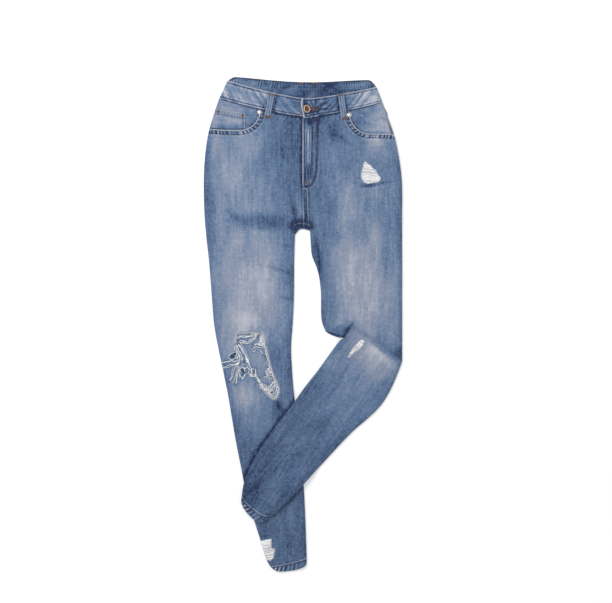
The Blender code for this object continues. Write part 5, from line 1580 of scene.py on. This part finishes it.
def curls_of(rows, seed):
    rng = np.random.default_rng(seed)
    found = []
    for x, y, half_width, half_height in rows:
        for lap in range(2):
            turns = np.linspace(0, 2 * np.pi * rng.uniform(0.45, 0.9), 12) + rng.uniform(0, 6)
            spot = columns(x + half_width * np.cos(turns), y + half_height * np.sin(turns))
            spot = spot + rng.normal(0, 1.1, 2)
            path = yarn_path(spot + rng.normal(0, 0.55, spot.shape), rng, "right", 0.7 + 0.9 * lap, 0.3)
            found.append((path, yarn_radius() * rng.uniform(0.6, 0.85)))
    return found


def painted_rip_shadow(p):
    """Painted shadow on the cloth in the gaps between the yarns and under them."""
    shade = sum(0.9 * bell(np.hypot(p[:, 0] - x, p[:, 1] - y), reach) for x, y, reach in KNEE_GAP_SHADOWS)
    for count, plan in KNEE_YARNS:
        shade = np.maximum(shade, 0.36 * bell(off(p, plan), 2.4 + 0.5 * count))
    return shade


def fringe_of(rows, blue, seed):
    """Short frayed ends, rooted in the cloth beside the rip."""
    rng = np.random.default_rng(seed)
    edge = rip_line()
    closed = closed_of(edge)
    runs = run_of(closed)
    plans = []
    for first, last, count, least, most, way_out in rows:
        if (way_out == "blue") != blue:
            continue
        start, end = (runs[np.hypot(*(edge - spot).T).argmin()] for spot in (first, last))
        if (end - start) % runs[-1] > runs[-1] / 2:
            start, end = end, start
        for _ in range(count):
            place = (start + (end - start) % runs[-1] * rng.uniform()) % runs[-1]
            near = np.array([place, place + 1]) % runs[-1]
            root, ahead = columns(*(np.interp(near, runs, closed[:, k]) for k in (0, 1)))
            tangent = (ahead - root) / max(np.linalg.norm(ahead - root), 1e-6)
            inward = np.array([-tangent[1], tangent[0]])
            if depth_inside((root + inward)[None], edge)[0] < 0:
                inward = -inward
            way = (-1 if way_out == "out" else 1) * inward + tangent * rng.normal(0, 0.6)
            way = way / np.linalg.norm(way)
            reach = rng.uniform(least, most)
            bend = np.array([-way[1], way[0]]) * rng.normal(0, 0.35) * reach
            turned_at = root + way * 0.6 * reach + bend * 0.7
            plans.append(np.array([root - way * 1.6, root + way * 0.3, turned_at]))
            if reach > 3:
                plans[-1] = np.vstack([plans[-1], root + way * reach + bend * 1.6])
    every = np.vstack(plans)
    height = over_rip(every, "right", 0.2, 1.6) + 0.35 + rng.uniform(-0.1, 0.8, len(every))
    return raised_paths(plans, height, [yarn_radius() * rng.uniform(0.45, 0.8) for _ in plans])


def raised_paths(plans, height, radii):
    """Paths of tubes from plans laid end to end in one list of heights."""
    ends = np.cumsum([len(plan) for plan in plans])[:-1]
    return [(columns(*pair), radius) for *pair, radius in zip(plans, np.split(height, ends), radii)]


def weft_of(name, seed):
    """Bared weft yarns, lying side by side across a worn patch, and the frayed rim round it."""
    half, turned_by, pitch, ragged = WEFT_ROWS[name]
    rng = np.random.default_rng(seed)
    patch = np.array(BARE_PATCHES[name])
    c, s = math.cos(math.radians(turned_by)), math.sin(math.radians(turned_by))
    way, across, middle = np.array([c, s]), np.array([-s, c]), patch.mean(axis=0)
    reach, sides = np.abs((patch - middle) @ way).max(), (patch - middle) @ across
    plans = []
    for offset in np.arange(sides.min() + 0.3, sides.max(), pitch * 0.82):
        u = np.arange(-reach, reach, 1.3)
        line = middle + u[:, None] * way + offset * across
        line = line + (0.35 * np.sin(u / rng.uniform(2.5, 5) + rng.uniform(0, 6)))[:, None] * across
        kept = depth_inside(line, patch) > 0.6 - rng.uniform(0, ragged)
        for run in np.split(np.arange(len(u)), np.flatnonzero(np.diff(kept.astype(int))) + 1):
            if kept[run[0]] and len(run) > 2 and rng.uniform() > 0.22:
                plans.append(line[run])
    every = np.vstack(plans)
    waves = [0.12 * np.sin(np.arange(len(plan)) * 2.4) + rng.uniform(-0.05, 0.4) for plan in plans]
    radii = [0.44 * pitch * rng.uniform(0.75, 1.05) for _ in plans]
    rim = [(1, middle + 0.97 * (closed_of(patch) - middle))] * (name == "hip")
    height = front_top(every, half) + np.concatenate(waves)
    return raised_paths(plans, height, radii) + strands_of(rim, seed + 20, half)


# Rows of topstitching -------------------------------------------------------------------------


def loop_rows(node):
    """Paths of the two rows of stitches along a belt loop."""
    spine, _, across = loop_spine(node)
    up = LOOP_THICK * (0.9 if LOOPS[node][2] else -0.9)
    return [spine[1:-1] + share * across + (0, 0, up) for share in (-0.7, 0.7)]


def loops_in(on_front):
    return [node for node in LOOPS if LOOPS[node][2] == on_front]


def front_rows():
    """Paths of the tan topstitching of the fronts and the band."""
    rows = [on_front("left", [(FLY_EDGE_X + 3, 431), (FLY_EDGE_X + 3, 292)])]
    rows += [on_front(half, line) for half, line in zip(("right", "left"), felled_rows())]
    crotch = curve(CROTCH_STITCHES)
    rows += [on_front("right", crotch[crotch[:, 0] < 1]), on_front("left", crotch[crotch[:, 0] > 6])]
    for height in (0.962, 0.075):
        rows.append(on_band(FOLD_RIGHT_X + 6, BAND_END_X - 2, height, True))
        rows.append(on_band(BAND_END_X + 3, FOLD_LEFT_X - 6, height, True))
    end = np.linspace(0.06, 0.94, 24)
    share, front = np.full(24, band_share(BAND_END_X + 2.2)), np.full(24, True)
    return rows + [band_surface(share, front, end, 0, band_lift(BAND_END_X, True, True)) + (0, 0, 0.3)]


def coin_rows():
    top, _, _, inner = coin_edges()
    rows = [beside(top, d) for d in (2, 8)] + [beside(inner, d) for d in (1.8, 6.4)]
    return [front_points(dense(row[1:-1], 1.5), "right", 0.35) for row in rows]


def back_rows():
    """Paths of the topstitching under the jeans: yokes, seat seam, pockets, waist and loops."""
    rows = []
    for side, turn in (("right", 1), ("left", -1)):
        rows += [on_back(side, beside(yoke_line(side), turn * d)[1:-3]) for d in (2.4, 8.4)]
        closed = closed_of(outline_of(back_pocket_edges(side)))
        rows += [columns(inset(closed, d), np.full(len(closed), 0.3)) for d in (2.0, 7.6)]
    seat = dense([(CENTRE_BACK_X, YOKE_CENTRE_Y - 2), (CENTRE_X, CROTCH_Y + 6)])
    rows += [on_back("left", beside(seat, d)) for d in (2.4, 8.4)]
    rows += [on_band(FOLD_RIGHT_X + 6, FOLD_LEFT_X - 6, height, False) for height in (0.06, 0.95)]
    return rows + [row for node in loops_in(False) for row in loop_rows(node)]


def inset(closed, distance):
    """A closed line moved to its inner side."""
    moved = beside(closed, distance)
    if depth_inside(moved[len(moved) // 8][None], closed[:-1])[0] < 0:
        moved = beside(closed, -distance)
    moved[-1] = moved[0]
    return moved


# Finishes -------------------------------------------------------------------------------------


def new_group(name, inputs, outputs):
    """A node group with its sockets: inputs as name, kind and default, outputs as name and kind."""
    group = bpy.data.node_groups.new(name, "ShaderNodeTree")
    for label, kind, value in inputs:
        made = group.interface.new_socket(label, in_out="INPUT", socket_type=kind)
        if value is not None:
            made.default_value = value
    for label, kind in outputs:
        group.interface.new_socket(label, in_out="OUTPUT", socket_type=kind)
    return group, group.nodes.new("NodeGroupInput"), group.nodes.new("NodeGroupOutput")


def add_node(tree, kind, values=(), **settings):
    """A shader node with its settings, and its inputs set or linked by name or number."""
    node = tree.nodes.new("ShaderNode" + kind)
    for key, setting in settings.items():
        setattr(node, key, setting)
    for key, value in dict(values).items():
        if isinstance(value, bpy.types.NodeSocket):
            tree.links.new(value, node.inputs[key])
        else:
            node.inputs[key].default_value = value
    return node


def math_node(tree, operation, *values, clamp=False):
    return add_node(tree, "Math", enumerate(values), operation=operation, use_clamp=clamp).outputs[0]


def noise_node(tree, vector, scale, detail=2, roughness=0.5):
    values = {"Scale": scale, "Detail": detail, "Roughness": roughness, "Vector": vector}
    return add_node(tree, "TexNoise", values).outputs["Fac"]


def stretched(tree, vector, across, along):
    """The weave map scaled by different amounts across and along the grain."""
    return add_node(tree, "Mapping", {"Scale": (across, along, 1), "Vector": vector}).outputs["Vector"]


def map_range(tree, value, low, high, to_low=0, to_high=1):
    values = {"Value": value, "From Min": low, "From Max": high, "To Min": to_low, "To Max": to_high}
    return add_node(tree, "MapRange", values).outputs["Result"]


def colour_mix(tree, factor, first, second):
    values = {"Factor": factor, "A": first, "B": second}
    return add_node(tree, "Mix", values, data_type="RGBA").outputs["Result"]


def slub_group():
    """Uneven warp yarns: streaks along the grain, fine flecks across it and a twill line."""
    group, start, end = new_group(
        "Denim Slubs",
        [("Weave", "NodeSocketVector", None), ("Strength", "NodeSocketFloat", 1)],
        [("Streaks", "NodeSocketFloat"), ("Twill", "NodeSocketFloat")],
    )
    weave = start.outputs["Weave"]
    fine = noise_node(group, stretched(group, weave, 1, 0.24), 470, 1)
    broad = noise_node(group, stretched(group, weave, 1, 0.09), 230, 1)
    fleck = noise_node(group, stretched(group, weave, 0.28, 1), 420, 1)
    cloud = noise_node(group, weave, 105, 2, 0.6)
    total = math_node(group, "MULTIPLY_ADD", fine, 0.85, -0.425)
    for source, share in ((broad, 0.7), (fleck, 0.85), (cloud, 0.36)):
        total = math_node(group, "ADD", total, math_node(group, "MULTIPLY_ADD", source, share, -share / 2))
    group.links.new(math_node(group, "MULTIPLY", total, start.outputs["Strength"]), end.inputs["Streaks"])
    values = {"Scale": 260, "Distortion": 0.6, "Vector": weave}
    twill = add_node(group, "TexWave", values, bands_direction="DIAGONAL")
    group.links.new(math_node(group, "ADD", twill.outputs["Fac"], total), end.inputs["Twill"])
    return group


def wash_group(colours):
    """Colour of denim from its fade, which also carries painted shade and highlights, bared to its weft or
    turned inside out.
    """
    inputs = {"Fade": 0.5, "Streaks": 0, "Bare": 0, "Inner": 0}
    sockets = [(label, "NodeSocketFloat", value) for label, value in inputs.items()]
    group, start, end = new_group("Denim Wash", sockets, [("Colour", "NodeSocketColor")])
    fade, streaks, bare, inner = (start.outputs[label] for label in inputs)
    strength = math_node(group, "MULTIPLY_ADD", fade, -0.58, 0.74)
    level = math_node(group, "MULTIPLY_ADD", streaks, strength, fade, clamp=True)
    ramp_node = add_node(group, "ValToRGB", {"Fac": level})
    stops = ramp_node.color_ramp.elements
    stops[0].color, stops[1].color = (*colours.indigo, 1), (*colours.worn, 1)
    for place, colour in ((0.3, colours.deep), (0.55, colours.mid), (0.8, colours.pale)):
        stops.new(place).color = (*colour, 1)
    faded = ramp_node.outputs["Color"]
    turned = colour_mix(group, inner, faded, colour_mix(group, 0.3, faded, (*colours.lining_side, 1)))
    # Painted shade of the hollows between bared yarns, mixed with the weft by the streaks.
    shade = math_node(group, "MULTIPLY_ADD", streaks, 1.2, 0.55, clamp=True)
    weft = colour_mix(group, shade, (*colours.weft_shade, 1), (*colours.weft, 1))
    group.links.new(colour_mix(group, bare, turned, weft), end.inputs["Colour"])
    return group


def attribute(tree, name):
    return add_node(tree, "Attribute", attribute_name=name).outputs["Fac"]


def plain_material(name, colour, roughness, **sockets):
    """A material whose shader's own sockets hold its plain values."""
    made = bpy.data.materials.new(name)
    made.use_nodes = True
    shader = made.node_tree.nodes["Principled BSDF"]
    values = {"Base Color": (*colour, 1), "Roughness": roughness, **sockets}
    for label, value in values.items():
        shader.inputs[label].default_value = value
    return made, made.node_tree, shader


@lru_cache(maxsize=None)
def denim():
    colours = bpy.context.scene.jeans_colours
    sheen = {"Sheen Weight": 0.08, "Sheen Roughness": 0.6, "Specular IOR Level": 0.25}
    made, tree, shader = plain_material("washed_denim", colours.mid, 0.92, **sheen)
    uv = add_node(tree, "UVMap", uv_map="weave").outputs["UV"]
    slubs = add_node(tree, "Group", node_tree=slub_group())
    tree.links.new(uv, slubs.inputs["Weave"])
    rough = noise_node(tree, uv, 520, 2, 0.6)
    ragged = math_node(tree, "MULTIPLY_ADD", rough, 4, attribute(tree, "bare"))
    # The fade attribute carries painted shade and highlights as well as fading.
    values = {"Fade": attribute(tree, "fade"), "Streaks": slubs.outputs["Streaks"]}
    values.update({"Bare": map_range(tree, ragged, 0.9, 3.4), "Inner": attribute(tree, "inner")})
    colour = add_node(tree, "Group", node_tree=wash_group(colours))
    for label, value in values.items():
        tree.links.new(value, colour.inputs[label])
    tree.links.new(colour.outputs["Colour"], shader.inputs["Base Color"])
    bump = add_node(tree, "Bump", {"Strength": 0.5, "Distance": 0.0004, "Height": slubs.outputs["Twill"]})
    tree.links.new(bump.outputs["Normal"], shader.inputs["Normal"])
    return made


@lru_cache(maxsize=None)
def thread_finish(name, colour, shade=0.5):
    made, tree, shader = plain_material(name, colour, 0.7)
    uneven = noise_node(tree, add_node(tree, "TexCoord").outputs["Object"], 150)
    dark = (*(shade * c for c in colour), 1)
    mixed = colour_mix(tree, map_range(tree, uneven, 0.36, 0.62), dark, (*colour, 1))
    tree.links.new(mixed, shader.inputs["Base Color"])
    return made


@lru_cache(maxsize=None)
def metal_finish(name, colour, roughness):
    made, tree, shader = plain_material(name, colour, roughness, Metallic=1)
    rubbed = noise_node(tree, add_node(tree, "TexCoord").outputs["Object"], 900, 3)
    polish, tarnish = map_range(tree, rubbed, 0.3, 0.6), attribute(tree, "tarnish")
    worn = math_node(tree, "SUBTRACT", polish, tarnish, clamp=True)
    mixed = colour_mix(tree, worn, (*(0.16 * c for c in colour), 1), (*colour, 1))
    tree.links.new(mixed, shader.inputs["Base Color"])
    dull = map_range(tree, rubbed, 0.3, 0.7, roughness + 0.15, roughness)
    tree.links.new(dull, shader.inputs["Roughness"])
    return made


# Properties -----------------------------------------------------------------------------------


def srgb(r, g, b):
    """Linear colour from eight-bit display values."""
    return tuple(((c / 255 + 0.055) / 1.055) ** 2.4 if c > 10 else c / 255 / 12.92 for c in (r, g, b))


def colour_property(label, about, r, g, b):
    return bpy.props.FloatVectorProperty(
        name=label, description=about, subtype="COLOR", min=0, max=1, default=srgb(r, g, b)
    )


def size_property(label, about, default, least=0):
    return bpy.props.FloatProperty(name=label, description=about, unit="LENGTH", default=default, min=least)


class JeansSizes(bpy.types.PropertyGroup):
    lattice: size_property("Mesh Spacing", "Distance between the points of the panels", 0.003, 0.002)
    cloth: size_property("Denim", "Thickness of the denim", 0.0011, 0.0005)
    thread: size_property("Thread", "Diameter of the sewing thread", 0.0008, 0.0003)
    stitch: size_property("Stitch", "Length of one stitch", 0.0034, 0.001)
    yarn: size_property("Loose Yarn", "Diameter of the yarns torn loose", 0.00105, 0.0003)


class JeansColours(bpy.types.PropertyGroup):
    # Indigo also colours the deepest painted shadows.
    indigo: colour_property("Indigo", "Unfaded denim in seams and puckers", 30, 46, 80)
    deep: colour_property("Deep Blue", "Little faded denim", 76, 99, 132)
    mid: colour_property("Mid Blue", "Denim of the body", 104, 127, 159)
    pale: colour_property("Pale Blue", "Faded denim of the thighs", 147, 156, 176)
    worn: colour_property("Worn Blue", "Denim rubbed almost white", 186, 190, 200)
    lining_side: colour_property("Inside", "Inside face of the denim", 140, 152, 172)
    weft: colour_property("Weft", "Bared weft yarns", 205, 202, 206)
    # Weft Shade is painted shade: the darker tone of the hollows between bared yarns.
    weft_shade: colour_property("Weft Shade", "Hollows between bared yarns", 172, 170, 174)
    yarn: colour_property("Loose Yarn", "Yarns torn loose at the knee", 252, 254, 255)
    thread: colour_property("Thread", "Topstitching thread", 178, 156, 146)
    rust: colour_property("Rust Thread", "Thread of pocket mouths, fly, hems and inner waist", 112, 76, 80)
    tack: colour_property("Bartack Thread", "Thread of bartacks and buttonhole", 150, 100, 56)
    copper: colour_property("Copper", "Waist button", 222, 186, 164)
    nickel: colour_property("Nickel", "Rivets", 226, 224, 220)


class JeansStage(bpy.types.PropertyGroup):
    view_width: size_property("View Width", "Width of the camera's view at the cloth", 1.2852)
    distance: size_property("Camera Height", "Height of the camera above the floor", 2.4)
    key: bpy.props.FloatProperty(name="Key", description="Power of the main lamp in watts", default=26, min=0)
    sky: bpy.props.FloatProperty(name="Sky", description="Strength of the light around", default=0.62, min=0)


# Operators ------------------------------------------------------------------------------------


def sizes_mm():
    """The user's sizes in millimetres."""
    sizes = bpy.context.scene.jeans_sizes
    return SimpleNamespace(**{name: getattr(sizes, name) / MM for name in JeansSizes.__annotations__})


def leg_edges(half, top_y):
    """Edges round a leg, from the outseam at a height to the crotch; the left leg's run back."""
    lines = {name: line for name, line in seam_lines().items() if name.startswith(half)}
    if half == "right":
        return [stretch(half, top_y, -510), lines["right_hem"], lines["right_inseam"], lines["right_crotch"]]
    return [*list(lines.values())[:-1], stretch(half, KNEE_CORNER[1], top_y)]


def front_edges(half):
    mouth = to_outseam(scoop_line(half), half)
    leg = leg_edges(half, mouth[-1][1])
    if half == "left":
        top = waist_line(SCOOPS["left"]["seam_x"], FLY_EDGE_X, front_seam_y)
        return [mouth[::-1], top, centre_line(top[-1][1]), *leg]
    top = waist_line(FLY_UNDERLAP_X, SCOOPS["right"]["seam_x"], front_seam_y)
    centre = centre_line(FLY_BOTTOM_Y)[::-1] - (SEAM_GAP, 0)
    step = dense([centre[-1], (FLY_EDGE_X - SEAM_GAP, 290), (FLY_UNDERLAP_X, 294), top[0]])
    return [top, mouth, *leg[:-1], np.vstack([leg[-1][:-1], centre[0]]), centre, step]


def make_front(half):
    right = half == "right"
    holes = [curve(KNEE_RIP + KNEE_RIP[:1])[:-1][::-1]] if right else []
    zones = [(scoop_line(half), 12), (seam_lines()[half + "_hem"], 14), (felled_rows()[0], 14)]
    zones.append((rip_line(), 9) if right else (centre_line(432), 26))
    step, thick = sizes_mm().lattice, sizes_mm().cloth
    flat = (0.217, 0.958) if right else (0.205, 0.96)
    edges, fade, below = front_edges(half), front_fade_and_shade(half), [half + "_back"]
    shell_piece(half, "front", edges, holes, zones, step, thick, fade, flat, below)


class JEANS_OT_fronts(bpy.types.Operator):
    """Make the right and left fronts with their creases, worn patches and torn knee"""

    bl_idname = "jeans.fronts"
    bl_label = "Fronts"

    def execute(self, context):
        for half in ("right", "left"):
            make_front(half)
        return {"FINISHED"}


def yoke_line(side):
    return dense([(CENTRE_BACK_X, YOKE_CENTRE_Y), YOKE_SIDE[side]])


def make_back(half):
    right = half == "right"
    centre = dense([(CENTRE_BACK_X, YOKE_CENTRE_Y - SEAM_GAP), (CENTRE_X, CROTCH_Y)])
    seam = to_outseam(yoke_line(half) - (0, SEAM_GAP), half)
    leg = leg_edges(half, seam[-1][1])
    edges = [seam, *leg, centre[::-1]] if right else [seam[::-1], centre, *leg]
    zones = [(rip_line(), 9)] if right else []
    step, thick = 1.4 * sizes_mm().lattice, sizes_mm().cloth
    flat = (0.217, 0.95) if right else (0.205, 0.95)
    shell_piece(half, "back", edges, [], zones, step, thick, back_fade_and_shade(half), flat, ["floor"])


class JEANS_OT_backs(bpy.types.Operator):
    """Make the right and left backs that the jeans lie on"""

    bl_idname = "jeans.backs"
    bl_label = "Backs"

    def execute(self, context):
        for half in ("right", "left"):
            make_back(half)
        return {"FINISHED"}


class JEANS_OT_waistband(bpy.types.Operator):
    """Make the waistband, one strip that wraps round from the buttonhole to the button"""

    bl_idname = "jeans.waistband"
    bl_label = "Waistband"

    def execute(self, context):
        make_waistband()
        return {"FINISHED"}


class JEANS_OT_loops(bpy.types.Operator):
    """Make the six belt loops"""

    bl_idname = "jeans.loops"
    bl_label = "Belt Loops"

    def execute(self, context):
        for node in LOOPS:
            make_loop(node)
        return {"FINISHED"}


class JEANS_OT_yokes(bpy.types.Operator):
    """Make the two back yokes"""

    bl_idname = "jeans.yokes"
    bl_label = "Yokes"

    def execute(self, context):
        for side in ("right", "left"):
            make_yoke(side)
        return {"FINISHED"}


class JEANS_OT_pockets(bpy.types.Operator):
    """Make the hip facings behind the pocket mouths, the coin pocket and the back pockets"""

    bl_idname = "jeans.pockets"
    bl_label = "Pockets"

    def execute(self, context):
        for side in ("right", "left"):
            make_facing(side)
            make_back_pocket(side)
        make_coin_pocket()
        return {"FINISHED"}


class JEANS_OT_pleat(bpy.types.Operator):
    """Make the layers folded under the bent knee"""

    bl_idname = "jeans.pleat"
    bl_label = "Knee Pleat"

    def execute(self, context):
        make_knee_pleat()
        return {"FINISHED"}


class JEANS_OT_stitching(bpy.types.Operator):
    """Sew every row of topstitching, the bartacks and the buttonhole"""

    bl_idname = "jeans.stitching"
    bl_label = "Stitching"

    def execute(self, context):
        colours = context.scene.jeans_colours
        radius, length = sizes_mm().thread / 2, sizes_mm().stitch
        tan = thread_finish("tan_thread", tuple(colours.thread))
        rust = thread_finish("rust_thread", tuple(colours.rust))
        orange = thread_finish("orange_thread", tuple(colours.tack))
        pale = thread_finish("pale_thread", tuple(colours.worn))

        def rows_of(paths, lift, pitch=1.3, size=1):
            rows = [along_path(path, pitch * length, length, size * radius, lift) for path in paths]
            return sum(rows, [])

        sew("front_stitches", rows_of(front_rows(), 0.15), tan)
        loops = [path for node in loops_in(True) for path in loop_rows(node)]
        sew("loop_stitches", rows_of(loops, 0.15), pale)
        sew("coin_pocket_stitches", rows_of(coin_rows(), 0.15), tan)
        sew("back_stitches", rows_of(back_rows(), -0.1), tan)
        rust_rows = [on_front("left", beside(curve(FLY_STITCHES), d)) for d in (0, -3.2)]
        for half, side in (("right", 1), ("left", -1)):
            rust_rows += [on_front(half, beside(scoop_line(half), side * d)[1:-1]) for d in (2.4, 8.4)]
        rust_rows.append(on_band(-168, 160, 0.955, False, BAND_THICK))
        sew("fly_and_mouth_stitches", rows_of(rust_rows, 0.15), rust)
        hems = [on_front(half, hem_line(half)) for half in ("right", "left")]
        sew("hem_stitches", rows_of(hems, 0.2, 1.2, 1.8), rust)
        sew("bartacks", bartacks(), orange)
        return {"FINISHED"}


def on_coin(p):
    """Top of the coin pocket."""
    return front_points(p, "right", 0.1)[:, 2] + 0.2


def bartacks():
    """Bars at the loops' ends, the fly, the coin pocket and the back of the waist, and the buttonhole."""
    stitches = []
    for node in loops_in(True):
        spine, _, across = loop_spine(node)
        for spot, depth in ((spine[2], 2.4), (spine[-3], 4.6)):
            level = spot[2] + 1.25 * LOOP_THICK
            width = LOOP_WIDTH - 2
            stitches += bartack(spot[:2], across[:2], width, lambda p: np.full(len(p), level), depth=depth)
    for spot in ((8.4, 294.5), (8.4, 285)):
        stitches += bartack(spot, (1, 0), 8, lambda p: front_top(p, "left"), depth=1.8)
    stitches += bartack((-12.6, 436.5), (1, -0.1), 6, visible_height, depth=1.8)
    top = coin_edges()[0]
    for spot in (top[3], top[-2]):
        place = spot - (0, 5)
        stitches += bartack(place, (0.1, 1), 6.4, on_coin, depth=3.4)
    for ends in ((-13.5, -2), (18, 29)):
        for spot in on_band(*ends, 0.965, False, BAND_THICK):
            for shift in (0, 0.7):
                start = spot + (shift, -2.4, 0.4)
                stitches.append((start, start + (0.2, 3.2, 0), 0.4))
    middle_y = float(front_seam_y(HOLE["x"])) + HOLE["foot"]
    rows = []
    for share in np.linspace(-1, 1, 27):
        x = HOLE["x"] + HOLE["half"] * share
        rows += [[(x, middle_y + side * 0.9), (x + 0.4, middle_y + side * (3 - share))] for side in (-1, 1)]
    for turn in np.radians(np.linspace(-75, 75, 8)):
        x, c, s = HOLE["x"] + HOLE["half"], math.cos(turn), math.sin(turn)
        rows.append([(x + r * c, middle_y + r * s) for r in (0.8, 2.1)])
    for ends in np.array(rows):
        stitches.append((*columns(ends, visible_height(ends) + 0.4), 0.34))
    return stitches


class JEANS_OT_tears(bpy.types.Operator):
    """Lay the yarns torn loose at the knee and the bared weft of the three worn patches"""

    bl_idname = "jeans.tears"
    bl_label = "Tears"

    def execute(self, context):
        colours = context.scene.jeans_colours
        white = thread_finish("weft_yarn", tuple(colours.yarn), 0.9)
        blue = thread_finish("warp_yarn", tuple(colours.worn), 0.8)
        tubes("knee_yarns", strands_of(KNEE_YARNS, 11) + curls_of(KNEE_CURLS, 12), white)
        tubes("knee_fringe_white", fringe_of(KNEE_FRINGE, False, 13), white, 5)
        tubes("knee_fringe_blue", fringe_of(KNEE_FRINGE, True, 14), blue, 5)
        for seed, name in enumerate(WEFT_ROWS):
            tubes(name + "_weft", weft_of(name, seed + 5), white)
        return {"FINISHED"}


class JEANS_OT_trim(bpy.types.Operator):
    """Make the waist button and the two rivets"""

    bl_idname = "jeans.trim"
    bl_label = "Button and Rivets"

    def execute(self, context):
        colours = context.scene.jeans_colours
        copper = metal_finish("copper_metal", tuple(colours.copper), 0.35)
        nickel = metal_finish("nickel_metal", tuple(colours.nickel), 0.25)
        base = float(visible_height(np.array([BUTTON_PLACE]))[0]) + BUTTON_STAND
        turned("button", "copper", BUTTON_PLACE, base, BUTTON_PROFILE, copper, BUTTON_LEAN)
        for name, place in RIVET_PLACES.items():
            base = float(front_top(np.array([place]), "right" if place[0] < 0 else "left")[0]) - 0.1
            turned(name, "nickel", place, base, RIVET_PROFILE, nickel)
        return {"FINISHED"}


def turned(node, slot, middle, base, profile, finish, lean=0, sides=56):
    """A round metal piece from a profile of radius, height and tarnish, its axis leaning to the left leg."""
    c, s = math.cos(math.radians(lean)), math.sin(math.radians(lean))
    points = []
    for radius, z, _ in profile:
        for turn in 2 * np.pi * np.arange(sides) / sides:
            x, y = radius * math.cos(turn), radius * math.sin(turn)
            points.append((middle[0] + x * c + z * s, middle[1] + y, base + z * c - x * s))
    tarnish = np.repeat([dull for _, _, dull in profile], sides)
    faces = tube_faces(len(profile), sides)
    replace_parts(new_fitting(node + "_metal", points, faces, finish, slot, {"tarnish": tarnish}), node)


class JEANS_OT_stage(bpy.types.Operator):
    """Lay the floor, hang the soft lamps and set the camera straight above"""

    bl_idname = "jeans.stage"
    bl_label = "Stage"

    def execute(self, context):
        stage, scene = context.scene.jeans_stage, context.scene
        make_floor()
        scene.world = bpy.data.worlds.new("studio")
        scene.world.use_nodes = True
        tree = scene.world.node_tree
        background = tree.nodes["Background"]
        strength = map_range(tree, seen_ray(tree), 0, 1, stage.sky, 1)
        tree.links.new(strength, background.inputs["Strength"])
        background.inputs["Color"].default_value = (1, 1, 1, 1)
        lamp = bpy.data.lights.new("key", "AREA")
        lamp.shape, lamp.size, lamp.energy = "DISK", 1.2, stage.key
        key = bpy.data.objects.new("key", lamp)
        key.location = (-0.9, 1, 1.9)
        key.rotation_euler = (-key.location).to_track_quat("-Z", "Y").to_euler()
        lens = bpy.data.cameras.new("camera")
        lens.sensor_width = 36
        lens.lens = lens.sensor_width * stage.distance / stage.view_width
        camera = bpy.data.objects.new("camera", lens)
        camera.location = (0.0063, 0.0473, stage.distance)
        for made in (key, camera):
            scene.collection.objects.link(made)
        scene.camera = camera
        scene.view_settings.view_transform = "Standard"
        return {"FINISHED"}


def seen_ray(tree):
    """1 for what the camera sees, straight or mirrored."""
    rays = add_node(tree, "LightPath")
    return math_node(tree, "MAXIMUM", rays.outputs["Is Camera Ray"], rays.outputs["Is Glossy Ray"])


def make_floor():
    """A wide pale floor that shows white to the camera and keeps the shadow."""
    corners = [(x, y, -0.0004) for x, y in ((-3, -3), (3, -3), (3, 3), (-3, 3))]
    mesh = bpy.data.meshes.new("floor")
    mesh.from_pydata(corners, [], [(0, 1, 2, 3)])
    sockets = {"Specular IOR Level": 0, "Emission Color": (1, 1, 1, 1)}
    made, tree, shader = plain_material("floor", (0.86, 0.86, 0.86), 0.9, **sockets)
    tree.links.new(math_node(tree, "MULTIPLY", seen_ray(tree), 0.3), shader.inputs["Emission Strength"])
    mesh.materials.append(made)
    floor = bpy.data.objects.new("floor", mesh)
    bpy.context.scene.collection.objects.link(floor)


class JEANS_PT_panel(bpy.types.Panel):
    """The pieces of the jeans, one button each"""

    bl_idname = "JEANS_PT_panel"
    bl_label = "Ripped Jeans"
    bl_space_type = "VIEW_3D"
    bl_region_type = "UI"
    bl_category = "Jeans"

    def draw(self, context):
        for group in (context.scene.jeans_sizes, context.scene.jeans_colours, context.scene.jeans_stage):
            for name in group.__annotations__:
                self.layout.prop(group, name)
        for operator in OPERATORS:
            self.layout.operator(operator.bl_idname)


OPERATORS = (
    JEANS_OT_backs,
    JEANS_OT_yokes,
    JEANS_OT_pockets,
    JEANS_OT_fronts,
    JEANS_OT_pleat,
    JEANS_OT_waistband,
    JEANS_OT_loops,
    JEANS_OT_stitching,
    JEANS_OT_tears,
    JEANS_OT_trim,
    JEANS_OT_stage,
)
GROUPS = {"jeans_sizes": JeansSizes, "jeans_colours": JeansColours, "jeans_stage": JeansStage}


def register():
    for kind in (*GROUPS.values(), *OPERATORS, JEANS_PT_panel):
        bpy.utils.register_class(kind)
    for name, kind in GROUPS.items():
        setattr(bpy.types.Scene, name, bpy.props.PointerProperty(type=kind))


def unregister():
    for name in GROUPS:
        delattr(bpy.types.Scene, name)
    for kind in (JEANS_PT_panel, *reversed(OPERATORS), *GROUPS.values()):
        bpy.utils.unregister_class(kind)


def main():
    register()
    bpy.ops.jeans.backs()
    bpy.ops.jeans.yokes()
    bpy.ops.jeans.pockets()
    bpy.ops.jeans.fronts()
    bpy.ops.jeans.pleat()
    bpy.ops.jeans.waistband()
    bpy.ops.jeans.loops()
    bpy.ops.jeans.stitching()
    bpy.ops.jeans.tears()
    bpy.ops.jeans.trim()
    bpy.ops.jeans.stage()


if __name__ == "__main__":
    main()
